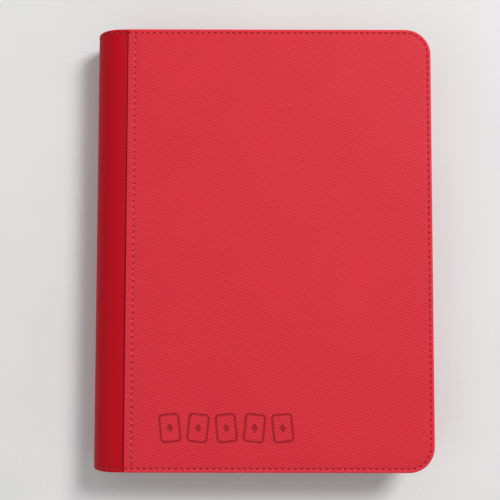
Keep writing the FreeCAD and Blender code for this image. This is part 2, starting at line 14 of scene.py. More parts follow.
import bmesh
import bpy
import numpy as np
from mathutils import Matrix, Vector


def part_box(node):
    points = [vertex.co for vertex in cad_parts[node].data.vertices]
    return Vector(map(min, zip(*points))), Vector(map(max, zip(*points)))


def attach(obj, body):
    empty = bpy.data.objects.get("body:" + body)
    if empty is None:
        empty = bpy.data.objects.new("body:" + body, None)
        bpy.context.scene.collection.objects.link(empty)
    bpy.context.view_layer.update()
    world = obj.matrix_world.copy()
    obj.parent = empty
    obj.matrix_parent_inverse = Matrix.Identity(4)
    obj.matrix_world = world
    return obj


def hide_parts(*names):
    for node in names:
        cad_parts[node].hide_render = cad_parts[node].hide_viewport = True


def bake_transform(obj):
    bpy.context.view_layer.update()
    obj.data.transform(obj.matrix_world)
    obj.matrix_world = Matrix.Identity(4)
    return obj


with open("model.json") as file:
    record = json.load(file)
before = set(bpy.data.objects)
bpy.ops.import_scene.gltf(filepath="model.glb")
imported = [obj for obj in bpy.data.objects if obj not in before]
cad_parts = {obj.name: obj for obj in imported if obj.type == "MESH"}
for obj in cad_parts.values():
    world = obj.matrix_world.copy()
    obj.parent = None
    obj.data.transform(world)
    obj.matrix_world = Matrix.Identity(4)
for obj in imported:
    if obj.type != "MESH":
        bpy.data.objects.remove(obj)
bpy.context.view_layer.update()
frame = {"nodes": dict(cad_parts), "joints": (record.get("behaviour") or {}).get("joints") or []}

MM = 0.001
LOG = logging.getLogger("binder")

Colour = tuple[float, float, float]
Piece = bpy.types.Object
Material = bpy.types.Material


# ---------------------------------------------------------------- shader graphs

class Wire:
    """A socket in a shader graph. Arithmetic on it adds Math nodes."""

    def __init__(self, graph: "Graph", socket: bpy.types.NodeSocket) -> None:
        """Wraps an output socket of a node in the graph."""
        self.graph = graph
        self.socket = socket

    def math(self, operation: str, *others: "Wire | float") -> "Wire":
        """Adds a Math node.

        Args:
            operation: Blender's name of the operation.
            others: the second value, where the operation has one.
        Returns:
            The result.
        """
        return self.graph.add("ShaderNodeMath", {"operation": operation}, dict(enumerate((self, *others))))

    def __add__(self, other: "Wire | float") -> "Wire":
        """Sum."""
        return self.math("ADD", other)

    def __sub__(self, other: "Wire | float") -> "Wire":
        """Difference."""
        return self.math("SUBTRACT", other)

    def __rsub__(self, other: float) -> "Wire":
        """Difference from a number."""
        return (self * -1.0) + other

    def __mul__(self, other: "Wire | float") -> "Wire":
        """Product."""
        return self.math("MULTIPLY", other)

    __radd__ = __add__
    __rmul__ = __mul__

    def wave(self) -> "Wire":
        """Sine of an angle in radians, moved to run from 0 to 1."""
        return self.math("SINE") * 0.5 + 0.5

    def smooth(self, low: float, high: float) -> "Wire":
        """A smooth step: 0 below low, 1 above high, level at both ends."""
        settings = {"interpolation_type": "SMOOTHSTEP"}
        return self.graph.add("ShaderNodeMapRange", settings, {0: self, 1: low, 2: high})


class Graph:
    """The node tree of one material."""

    def __init__(self, name: str) -> None:
        """Starts a material with an empty tree."""
        self.material = bpy.data.materials.new(name)
        self.material.use_nodes = True
        self.tree = self.material.node_tree
        self.tree.nodes.clear()

    def add(self, kind: str, settings: dict | None = None, values: dict | None = None,
            output: int | str = 0) -> Wire:
        """Adds any node.

        Args:
            kind: the node's type.
            settings: attributes to set first.
            values: socket name or number to a number, a colour or a Wire.
            output: name or number of the output that is wanted.
        Returns:
            That output.
        """
        node = self.tree.nodes.new(kind)
        for key, value in (settings or {}).items():
            setattr(node, key, value)
        for key, value in (values or {}).items():
            if isinstance(value, Wire):
                self.tree.links.new(value.socket, node.inputs[key])
            else:
                node.inputs[key].default_value = value
        return Wire(self, node.outputs[output])

    def split(self, vector: Wire) -> tuple[Wire, Wire, Wire]:
        """The three components of a vector."""
        node = self.add("ShaderNodeSeparateXYZ", values={0: vector}).socket.node
        return tuple(Wire(self, socket) for socket in node.outputs)

    def place(self, mapped: bool) -> Wire:
        """Where a point is, in metres: on the piece's own flat pattern if mapped, else in the object."""
        if mapped:
            return self.add("ShaderNodeUVMap", {"uv_map": "pattern"})
        return self.add("ShaderNodeTexCoord", output="Object")

    def noise(self, where: Wire, size: float, detail: float = 2.0, rough: float = 0.5) -> Wire:
        """Noise from 0 to 1.

        Args:
            where: the point.
            size: size of the blotches in millimetres.
            detail: octaves.
            rough: strength of each finer octave.
        Returns:
            The noise value.
        """
        values = {"Vector": where, "Scale": 1 / (size * MM), "Detail": detail, "Roughness": rough}
        return self.add("ShaderNodeTexNoise", {"noise_dimensions": "3D"}, values)

    def mark(self, name: str) -> Wire:
        """A value painted on the mesh's points under that name."""
        return self.add("ShaderNodeAttribute", {"attribute_name": name}, output="Fac")

    def blend(self, share: Wire, first: Colour | Wire, second: Colour | Wire) -> Wire:
        """A colour between two colours. A share under 0 or over 1 counts as 0 or 1."""
        pair = [value if isinstance(value, Wire) else (*value, 1.0) for value in (first, second)]
        values = {0: share, 6: pair[0], 7: pair[1]}
        return self.add("ShaderNodeMix", {"data_type": "RGBA"}, values, output=2)

    def bump(self, height: Wire, depth: float) -> Wire:
        """A normal from a height of 0 to 1 that stands for depth in millimetres."""
        return self.add("ShaderNodeBump", values={"Height": height, "Distance": depth * MM})

    def finish(self, **values: Wire | float | Colour) -> Material:
        """Joins everything to one Principled shader.

        Args:
            values: the shader's inputs, with underscores for spaces.
        Returns:
            The material.
        """
        named = {key.replace("_", " "): value for key, value in values.items()}
        shader = self.add("ShaderNodeBsdfPrincipled", values=named)
        output = self.tree.nodes.new("ShaderNodeOutputMaterial")
        self.tree.links.new(shader.socket, output.inputs[0])
        return self.material


# ---------------------------------------------------------------- finishes

@dataclass(frozen=True)
class Leatherette:
    """Coated leatherette with a diagonal grain whose ridges are painted paler and valleys darker, as painted
    light and shade, or smooth where the grain is shallow.
    """

    name: str
    # face is the colour of the grain's ridges, paler as painted light; valley is that of its valleys, darker
    # as painted shade
    face: Colour
    valley: Colour
    shadow: Colour = (0.20, 0.002, 0.006)       # painted shade in seams, creases and pressed lines
    shade_share: float = 0.85           # share of the painted shade colour where the leather is fully pressed
    grain: float = 1.0              # strength of the ribs, 0 to 1
    rib_pitch: float = 1.67
    rib_angle: float = 37.0         # direction across the ribs, degrees from +X
    rib_wander: float = 3.2         # how far slow noise shifts the ribs, in radians
    rib_fray: float = 0.9           # the same for fine noise
    break_pitch: float = 2.4        # along a rib, from one break to the next
    break_slant: float = 5.3        # across the ribs, from one line of breaks to the next
    break_wander: float = 5.0
    wander_size: float = 9.0
    pore_size: float = 0.55
    patch_size: float = 5.0         # patches where the ribs stand out or fade
    blotch_size: float = 55.0
    depth: float = 0.2
    roughness: float = 0.5
    specular: float = 0.25

    def lumps(self, g: Graph, where: Wire, pores: Wire) -> Wire:
        """Height of the grain: a steep-sided sine across the ribs, broken up by a slanted sine."""
        wander = g.noise(where, self.wander_size)
        x, y, _ = g.split(where)
        turn = math.radians(self.rib_angle)
        across = x * math.cos(turn) + y * math.sin(turn)
        along = y * math.cos(turn) - x * math.sin(turn)
        cycle = 2 * math.pi / MM
        phase = across * (cycle / self.rib_pitch) + wander * self.rib_wander + pores * self.rib_fray
        ribs = phase.wave().smooth(0.06, 0.66) - 0.55
        phase = along * (cycle / self.break_pitch) + across * (cycle / self.break_slant)
        breaks = (phase + wander * self.break_wander).wave() - 0.5
        patch = g.noise(where, self.patch_size, 3.0, 0.6).smooth(0.3, 0.7)
        return ribs * (patch * 0.55 + 0.4) + breaks * (0.26 - patch * 0.16) + 0.52

    def material(self) -> Material:
        """Colour, gloss and relief follow the grain, with painted light on its ridges and painted shade in
        its valleys; slow blotches, wear and pressing change them, pressing with painted shade.
        """
        g = Graph(self.name)
        where = g.place(True)
        pores = g.noise(where, self.pore_size, 3.0, 0.6)
        blotch = g.noise(where, self.blotch_size)
        pressed = g.mark("pressed")
        worn = g.mark("wear")
        lumps = self.lumps(g, where, pores) * (1 - pressed * 0.8)
        height = lumps * (0.8 * self.grain) + pores * (0.4 - 0.2 * self.grain)
        # pale mixes painted light on the ridges and painted shade in the valleys with real pores, blotches
        # and edge wear
        pale = lumps * (0.95 * self.grain) + pores * 0.22 + blotch * 0.12 + worn * 0.25 - 0.12
        # pressed places blend towards the shadow colour: painted shade in seams, creases and sunk lines
        base = g.blend(pressed * self.shade_share, g.blend(pale, self.valley, self.face), self.shadow)
        rough = self.roughness + (1 - lumps) * (0.10 * self.grain) + pores * 0.08 - worn * 0.05
        return g.finish(Base_Color=base, Roughness=rough, Normal=g.bump(height, self.depth),
                        Specular_IOR_Level=self.specular)


@dataclass(frozen=True)
class Thread:
    """Twisted sewing thread."""

    name: str
    light: Colour
    dark: Colour
    ply: float = 0.45               # from ply to ply along the thread
    slant: float = 0.9              # from ply to ply round it
    relief: float = 0.05

    def material(self) -> Material:
        """Fine slanted plies along the thread's own pattern, with fluff."""
        g = Graph(self.name)
        where = g.place(True)
        u, v, _ = g.split(where)
        cycle = 2 * math.pi / MM
        plies = (u * (cycle / self.ply) + v * (cycle / self.slant)).wave()
        fluff = g.noise(where, 0.3)
        base = g.blend(plies * 0.7 + fluff * 0.3, self.dark, self.light)
        return g.finish(Base_Color=base, Roughness=0.62 + fluff * 0.1,
                        Normal=g.bump(plies, self.relief), Sheen_Weight=0.2)


class Weave(Enum):
    """How a cloth is woven."""

    HERRINGBONE = "herringbone"
    RIBBED = "ribbed"


@dataclass(frozen=True)
class Cloth:
    """Woven cloth, its threads following the piece's own pattern."""

    name: str
    light: Colour
    dark: Colour
    weave: Weave
    pitch: float
    wale: float = 6.0               # width of a herringbone's wale, in pitches
    depth: float = 0.12
    sheen: float = 0.15

    def cells(self, u: Wire, v: Wire) -> Wire:
        """Height of the weave: crossed sines, or slanted ones whose slant turns at each wale."""
        cycle = 2 * math.pi / (self.pitch * MM)
        if self.weave is Weave.RIBBED:
            return (u * cycle).wave() * ((v * (cycle / 2)).wave() * 0.5 + 0.5)
        slant = (v * (cycle / self.wale)).math("PINGPONG", math.pi) * 3.0
        return (u * cycle + slant).wave()

    def material(self) -> Material:
        """Threads from the weave, uneven dye from slow noise."""
        g = Graph(self.name)
        where = g.place(True)
        u, v, _ = g.split(where)
        cells = self.cells(u, v)
        fluff = g.noise(where, 0.4)
        dye = g.noise(where, 30.0)
        base = g.blend(cells * 0.6 + fluff * 0.25 + dye * 0.25 - 0.05, self.dark, self.light)
        return g.finish(Base_Color=base, Roughness=0.78 + fluff * 0.12,
                        Normal=g.bump(cells * 0.8 + fluff * 0.2, self.depth),
                        Sheen_Weight=self.sheen, Sheen_Roughness=0.4)


@dataclass(frozen=True)
class Plastic:
    """Moulded plastic or plated metal with a fine surface."""

    name: str
    face: Colour
    shade: Colour
    roughness: float
    metallic: float = 0.0
    texture: float = 0.6            # size of the surface's texture
    depth: float = 0.01
    coat: float = 0.0

    def material(self) -> Material:
        """Mottled colour and roughness from noise at two sizes."""
        g = Graph(self.name)
        where = g.place(False)
        fine = g.noise(where, self.texture, 3.0)
        wide = g.noise(where, self.texture * 14)
        base = g.blend((fine * 0.5 + wide * 0.5).smooth(0.3, 0.7), self.shade, self.face)
        rough = self.roughness + (fine - 0.5) * 0.12 + (wide - 0.5) * 0.1
        return g.finish(Base_Color=base, Roughness=rough, Metallic=self.metallic,
                        Normal=g.bump(fine, self.depth), Coat_Weight=self.coat)


@dataclass(frozen=True)
class PocketFilm:
    """Clear film over a black middle sheet, milky at the welds."""

    name: str
    sheet: Colour = (0.013, 0.013, 0.015)
    weld: Colour = (0.055, 0.056, 0.060)
    knurl_pitch: float = 0.9
    ripple_size: float = 26.0
    ripple_depth: float = 0.5

    def material(self) -> Material:
        """The weld mark pales the sheet and roughens it; slow noise ripples the film."""
        g = Graph(self.name)
        where = g.place(True)
        weld = g.mark("weld")
        u, v, _ = g.split(where)
        cycle = 2 * math.pi / (self.knurl_pitch * MM)
        knurl = (u * cycle).math("SINE") * (v * cycle).math("SINE") * 0.5 + 0.5
        ripple = g.noise(where, self.ripple_size)
        fibre = g.noise(where, 0.5, 3.0)
        base = g.blend(weld * (knurl * 0.5 + 0.5) + fibre * 0.12, self.sheet, self.weld)
        return g.finish(Base_Color=base, Roughness=0.27 + weld * 0.2 + fibre * 0.06,
                        Normal=g.bump(ripple * 0.8 + weld * knurl * 0.12, self.ripple_depth),
                        Coat_Weight=0.15, Coat_Roughness=0.12)


@dataclass(frozen=True)
class Tabletop:
    """Pale, faintly mottled plaster surface."""

    name: str
    pale: Colour
    grey: Colour

    def material(self) -> Material:
        """Two sizes of soft blotches and a fine tooth."""
        g = Graph(self.name)
        where = g.place(False)
        clouds = g.noise(where, 130.0, 4.0, 0.55)
        tooth = g.noise(where, 1.6, 3.0)
        base = g.blend((clouds * 0.9 + tooth * 0.1).smooth(0.25, 0.75), self.grey, self.pale)
        return g.finish(Base_Color=base, Roughness=0.85, Normal=g.bump(tooth, 0.15))


# ---------------------------------------------------------------- meshes

def quads(rows: int, columns: int, closed: bool = False, first: int = 0) -> np.ndarray:
    """Faces of a grid of points.

    Args:
        rows: points along the first parameter.
        columns: points along the second, which runs fastest.
        closed: whether the last column joins the first.
        first: number of the grid's first point.
    Returns:
        One row of four point numbers per face.
    """
    i, j = np.meshgrid(np.arange(rows - 1), np.arange(columns if closed else columns - 1), indexing="ij")
    near, far = i * columns, (i + 1) * columns
    after = (j + 1) % columns
    corners = [near + j, far + j, far + after, near + after]
    return np.stack([corner.ravel() for corner in corners], axis=1) + first


def tube(rows: int, columns: int, closed: bool = True) -> list[list[int]]:
    """Faces of a section carried along a path, with a flat cap at each end."""
    last = (rows - 1) * columns
    caps = [list(range(columns)), list(range(last, last + columns))]
    return quads(rows, columns, closed).tolist() + caps


def slab(rows: int, columns: int) -> list[list[int]]:
    """Faces of two equal grids, whose points come one after the other, and of a wall round their rims."""
    size = rows * columns
    rim = np.concatenate([np.arange(columns), np.arange(1, rows) * columns + columns - 1,
                          (rows - 1) * columns + np.arange(columns - 2, -1, -1),
                          np.arange(rows - 2, 0, -1) * columns])
    after = np.roll(rim, -1)
    wall = np.stack([rim, after, after + size, rim + size], 1)
    return np.concatenate([quads(rows, columns), quads(rows, columns, first=size), wall]).tolist()


def copies(faces: list[list[int]], size: int, count: int) -> list[list[int]]:
    """Faces of that many copies of a mesh of size points, whose points come one copy after the other."""
    return [[corner + number * size for corner in face] for number in range(count) for face in faces]


def rows_of(*grids: np.ndarray) -> np.ndarray:
    """Points of a grid, one row each, from grids of their coordinates, which may need broadcasting."""
    return np.stack(np.broadcast_arrays(*grids), -1).reshape(-1, len(grids))


def make_piece(name: str, points: np.ndarray, faces: Iterable[Sequence[int]],
               pattern: np.ndarray | None = None, marks: dict[str, np.ndarray] | None = None,
               crease: float = 38.0, merge: float = 0.002) -> Piece:
    """Makes a closed mesh object at the origin, its faces pointing outwards.

    Args:
        name: the piece's name.
        points: places in millimetres, one row each.
        faces: point numbers of each face.
        pattern: flat place of each point in millimetres, for a grain or weave to follow.
        marks: name to a value for each point.
        crease: edges sharper than this many degrees stay sharp.
        merge: points nearer than this, in millimetres, become one.
    Returns:
        The object.
    """
    mesh = bpy.data.meshes.new(name)
    mesh.from_pydata((points * MM).tolist(), [], list(faces))
    if pattern is not None:
        corner = np.zeros(len(mesh.loops), dtype=np.int32)
        mesh.loops.foreach_get("vertex_index", corner)
        layer = mesh.uv_layers.new(name="pattern")
        layer.data.foreach_set("uv", (pattern[corner] * MM).astype(np.float32).ravel())
    for mark, values in (marks or {}).items():
        attribute = mesh.attributes.new(mark, "FLOAT", "POINT")
        attribute.data.foreach_set("value", values.astype(np.float32))
    work = bmesh.new()
    work.from_mesh(mesh)
    if merge:
        bmesh.ops.remove_doubles(work, verts=work.verts, dist=merge * MM)
    bmesh.ops.recalc_face_normals(work, faces=work.faces)
    work.to_mesh(mesh)
    work.free()
    mesh.shade_smooth()
    mesh.set_sharp_from_angle(angle=math.radians(crease))
    piece = bpy.data.objects.new(name, mesh)
    bpy.context.scene.collection.objects.link(piece)
    return piece


def scatter(name: str, body: np.ndarray, faces: list[list[int]], places: np.ndarray,
            axes: Sequence[np.ndarray], pattern: np.ndarray | None = None, crease: float = 50.0) -> Piece:
    """Makes one mesh of many copies of a small shape.

    Args:
        name: the piece's name.
        body: the shape's points.
        faces: its faces.
        places: where each copy stands.
        axes: unit directions that the shape's x, y and z take at each copy.
        pattern: flat place of each of the shape's points.
        crease: edges sharper than this many degrees stay sharp.
    Returns:
        The object.
    """
    count = len(places)
    points = places[:, None, :] + np.einsum("vk,nkc->nvc", body, np.stack(axes, 1))
    flat = None if pattern is None else np.tile(pattern, (count, 1))
    return make_piece(name, points.reshape(-1, 3), copies(faces, len(body), count), flat,
                      merge=0, crease=crease)


def dress(piece: Piece, material: Material) -> None:
    """Gives every material slot of a piece one material."""
    if not piece.material_slots:
        piece.data.materials.append(material)
    for held in piece.material_slots:
        held.material = material


def settle(piece: Piece, material: Material, replaces: Sequence[str] = (),
           body: str | None = None) -> None:
    """Dresses a new piece, hides the CAD nodes that it stands for and hangs it on its body.

    Args:
        piece: the object.
        material: its material.
        replaces: CAD nodes that it stands for.
        body: the body it rides on, or None to leave it unattached.
    """
    dress(piece, material)
    if replaces:
        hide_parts(*replaces)
    if body:
        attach(piece, body)
    LOG.info("%s: %d faces", piece.name, len(piece.data.polygons))


def smoothstep(value: np.ndarray, low: float, high: float) -> np.ndarray:
    """0 below low, 1 above high, 3t^2 - 2t^3 between."""
    t = np.clip((value - low) / (high - low), 0, 1)
    return t * t * (3 - 2 * t)


def bell(distance: np.ndarray, width: float) -> np.ndarray:
    """exp(-(distance / width)^2)."""
    return np.exp(-(distance / width) ** 2)


def beat(distance: np.ndarray, pitch: float, width: float) -> np.ndarray:
    """A bell in the middle of each pitch."""
    return bell(distance % pitch - pitch / 2, width)


def fade(distance: np.ndarray, reach: float) -> np.ndarray:
    """1 up to distance 0, then exp(-distance / reach)."""
    return np.exp(-np.maximum(distance, 0) / reach)


def rounded(distance: np.ndarray, radius: float) -> np.ndarray:
    """Drop of a quarter round at a distance in from its edge: r - sqrt(r^2 - (r - d)^2)."""
    short = np.clip(radius - distance, 0, radius)
    return radius - np.sqrt(np.maximum(radius * radius - short * short, 0))


def squircle(turn: np.ndarray, power: float) -> tuple[np.ndarray, np.ndarray]:
    """A superellipse's outline: cosine and sine, each to a power with its sign kept."""
    c, s = np.cos(turn), np.sin(turn)
    return np.sign(c) * np.abs(c) ** power, np.sign(s) * np.abs(s) ** power


def box_mm(node: str) -> tuple[np.ndarray, np.ndarray]:
    """A node's lowest and highest corner, in millimetres."""
    low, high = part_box(node)
    return np.array(low) / MM, np.array(high) / MM


def joint_mm(name: str) -> np.ndarray:
    """A point on a joint's axis, in millimetres."""
    found = next(joint for joint in frame["joints"] if joint["name"] == name)
    return np.array(found["pos_m"]) / MM


# ---------------------------------------------------------------- the frame's own places

@dataclass(frozen=True)
class Layout:
    """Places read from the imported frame, and the few radii that its boxes can't give."""

    fore_x: float
    half_y: float
    top_z: float
    panel_x: float
    hem_z: float                    # under side of the front cover's turned-in leather
    arc_x: float                    # where the spine's round begins
    spine_radius: float
    lining_radius: float
    corner: float = 20.0            # covers' fore-edge corners
    stitch_pitch: float = 4.8
    edge_seam: float = 3.0          # cover's edge to its seam
    hinge_seam: float = 5.5         # panel's edge to the seam beside the spine

    @property
    def mid_z(self) -> float:
        """Half the binder's thickness."""
        return self.top_z / 2

    @classmethod
    def read(cls) -> "Layout":
        """Reads the places from the frame's nodes and joints."""
        low, high = box_mm("front_cover_leather")
        lining_low, _ = box_mm("front_lining")
        mid = high[2] / 2
        fold = joint_mm("front_fold")
        folds_up = 67.5
        return cls(fore_x=high[0], half_y=high[1], top_z=high[2], panel_x=low[0], hem_z=low[2],
                   arc_x=lining_low[0], lining_radius=lining_low[2] - mid,
                   spine_radius=(fold[2] - mid) / math.sin(math.radians(folds_up)))


class EdgePath:
    """Stations along the covers' three free edges, from the foot of the panel round to the head.

    A station has the outline's point, the outward direction there and the distance run at the seam.
    A point at inset d is the outline's point less d times the outward direction, so at d = corner
    radius each corner's stations meet in one point.
    """

    def __init__(self, plan: Layout, xs: np.ndarray, ys: np.ndarray, bends: np.ndarray,
                 inset: float) -> None:
        """Makes the stations.

        Args:
            plan: the frame's places.
            xs: places along the foot and head, rising, which end where the corner begins.
            ys: places along the fore edge, rising, from corner to corner.
            bends: angles inside a corner, from 0 to a quarter turn, without both ends.
            inset: inset at which the distance run is measured.
        """
        cx, cy = plan.fore_x - plan.corner, plan.half_y - plan.corner
        radius = plan.corner - inset
        leg, bend, side = cx - xs[0], radius * math.pi / 2, 2 * cy
        n_bend = np.stack([np.sin(bends), -np.cos(bends)], 1)
        foot = np.stack([xs, np.full_like(xs, -plan.half_y)], 1)
        fore = np.stack([np.full_like(ys, plan.fore_x), ys], 1)
        up = np.array([1.0, -1.0])
        low_corner = np.array([cx, -cy]) + plan.corner * n_bend
        self.points = np.concatenate([foot, low_corner, fore, (low_corner * up)[::-1], (foot * up)[::-1]])
        n_foot = np.tile([0.0, -1.0], (len(xs), 1))
        n_fore = np.tile([1.0, 0.0], (len(ys), 1))
        self.outward = np.concatenate([n_foot, n_bend, n_fore, (n_bend * up)[::-1], (n_foot * up)[::-1]])
        s_foot, s_bend, s_fore = xs - xs[0], leg + radius * bends, leg + bend + (ys - ys[0])
        self.length = 2 * leg + 2 * bend + side
        self.run = np.concatenate([s_foot, s_bend, s_fore, self.length - s_bend[::-1],
                                   self.length - s_foot[::-1]])

    def at(self, inset: np.ndarray | float) -> np.ndarray:
        """Points at that inset: one row per station, or stations by insets if inset is an array."""
        inset = np.asarray(inset, float)
        if inset.ndim == 0:
            return self.points - self.outward * inset
        return self.points[:, None, :] - self.outward[:, None, :] * inset[None, :, None]


def even_path(plan: Layout, start_x: float, step: float, inset: float) -> EdgePath:
    """Stations about evenly spaced along the edge.

    Args:
        plan: the frame's places.
        start_x: where the foot and head runs begin.
        step: wanted distance from station to station.
        inset: inset at which the distance run is measured.
    Returns:
        The path.
    """
    cx, cy = plan.fore_x - plan.corner, plan.half_y - plan.corner
    xs = np.linspace(start_x, cx, max(2, round((cx - start_x) / step) + 1))
    ys = np.linspace(-cy, cy, round(2 * cy / step) + 1)
    bends = np.linspace(0, math.pi / 2, 15)[1:-1]
    return EdgePath(plan, xs, ys, bends, inset)


def follow(path: EdgePath, inset: float, s: np.ndarray) -> tuple[np.ndarray, np.ndarray]:
    """Places and directions at distances along a path.

    Args:
        path: the path, whose distances were measured at the same inset.
        inset: how far in from the edge.
        s: distances along it.
    Returns:
        Points and unit headings in the plane.
    """
    line = path.at(inset)
    point = np.stack([np.interp(s, path.run, line[:, k]) for k in (0, 1)], 1)
    normal = np.stack([np.interp(s, path.run, path.outward[:, k]) for k in (0, 1)], 1)
    normal /= np.linalg.norm(normal, axis=1, keepdims=True)
    return point, np.stack([-normal[:, 1], normal[:, 0]], 1)


# ---------------------------------------------------------------- stitches

@dataclass(frozen=True)
class Stitch:
    """One stitch: a short round thread whose ends dive into the leather."""

    length: float = 3.7
    radius: float = 0.34
    dive: float = 0.55
    around: int = 7
    along: int = 7

    def shape(self) -> tuple[np.ndarray, list[list[int]], np.ndarray]:
        """A tube along x; its middle line is -dive * t^4 and its radius shrinks by t^8 at the ends.

        Returns:
            Points, faces and flat pattern of one stitch.
        """
        t = np.linspace(-1, 1, self.along)
        turn = np.arange(self.around) * 2 * math.pi / self.around
        t_grid, turn_grid = np.meshgrid(t, turn, indexing="ij")
        r = self.radius * np.sqrt(np.clip(1 - 0.9 * t_grid ** 8, 0, 1))
        x = t_grid * self.length / 2
        y = r * np.cos(turn_grid)
        z = r * np.sin(turn_grid) - self.dive * t_grid ** 4
        return rows_of(x, y, z), tube(self.along, self.around), rows_of(x, self.radius * turn_grid)

    def row(self, name: str, places: np.ndarray, along: np.ndarray, up: np.ndarray) -> Piece:
        """Copies of the stitch, all in one mesh.

        Args:
            name: the piece's name.
            places: middle of each stitch.
            along: unit direction of each.
            up: unit direction out of the leather at each.
        Returns:
            The object.
        """
        body, faces, pattern = self.shape()
        return scatter(name, body, faces, places, (along, np.cross(up, along), up), pattern, crease=60.0)


# ---------------------------------------------------------------- covers

class Side(Enum):
    """Which cover."""

    FRONT = "front"
    BACK = "back"


@dataclass(frozen=True)
class Groove:
    """A sewn groove, as a depth or a darkness: a bell across it, stronger at each needle hole."""

    line: float                     # strength between the holes
    hole: float                     # how much more at a hole
    width: float                    # of the bell across the groove
    hole_width: float               # of the bell along it at a hole

    def at(self, off: np.ndarray, run: np.ndarray | float, pitch: float) -> np.ndarray:
        """Strength at a distance off the groove's line. Holes are at half a pitch and every pitch on."""
        return (self.line + self.hole * beat(run, pitch, self.hole_width)) * bell(off, self.width)


@dataclass(frozen=True)
class Emblem:
    """A plain row of blank cards, each with one diamond, pressed into the leather."""

    left: float = -78.5
    foot: float = -149.0
    count: int = 5
    step: float = 21.6
    card: tuple[float, float] = (14.6, 20.6)
    corner: float = 2.4
    line: float = 1.6
    depth: float = 0.55
    tilt: float = 6.0
    wall: float = 0.3
    diamond: tuple[float, float] = (2.5, 3.6)

    def local(self, x: np.ndarray, y: np.ndarray, number: int) -> tuple[np.ndarray, np.ndarray]:
        """Places seen from one card: measured from its middle and turned by its tilt."""
        cx = self.left + self.card[0] / 2 + self.step * number
        cy = self.foot + self.card[1] / 2
        turn = math.radians(self.tilt * (-1) ** number)
        u = (x - cx) * math.cos(turn) + (y - cy) * math.sin(turn)
        v = (y - cy) * math.cos(turn) - (x - cx) * math.sin(turn)
        return u, v

    def reach(self, x: np.ndarray, y: np.ndarray) -> np.ndarray:
        """Distance outside the nearest pressed mark, below zero inside it.

        A card's line is the level set of a rectangle with round corners, and a diamond is the level
        set of |u| / a + |v| / b, which is scaled to distance.
        """
        nearest = np.full(np.shape(x), 1e3)
        half = np.array(self.card) / 2
        a, b = self.diamond
        for number in range(self.count):
            u, v = self.local(x, y, number)
            qx, qy = np.abs(u) - half[0] + self.corner, np.abs(v) - half[1] + self.corner
            edge = np.hypot(np.maximum(qx, 0), np.maximum(qy, 0)) + np.minimum(np.maximum(qx, qy), 0)
            line = np.abs(edge - self.corner) - self.line / 2
            pip = (np.abs(u) / a + np.abs(v) / b - 1) * a * b / math.hypot(a, b)
            nearest = np.minimum(nearest, np.minimum(line, pip))
        return nearest

    def sunk(self, x: np.ndarray, y: np.ndarray) -> np.ndarray:
        """How far down each point is, from 0 to 1, with a short smooth wall at each mark's edge."""
        return 1 - smoothstep(self.reach(x, y), -self.wall, self.wall)


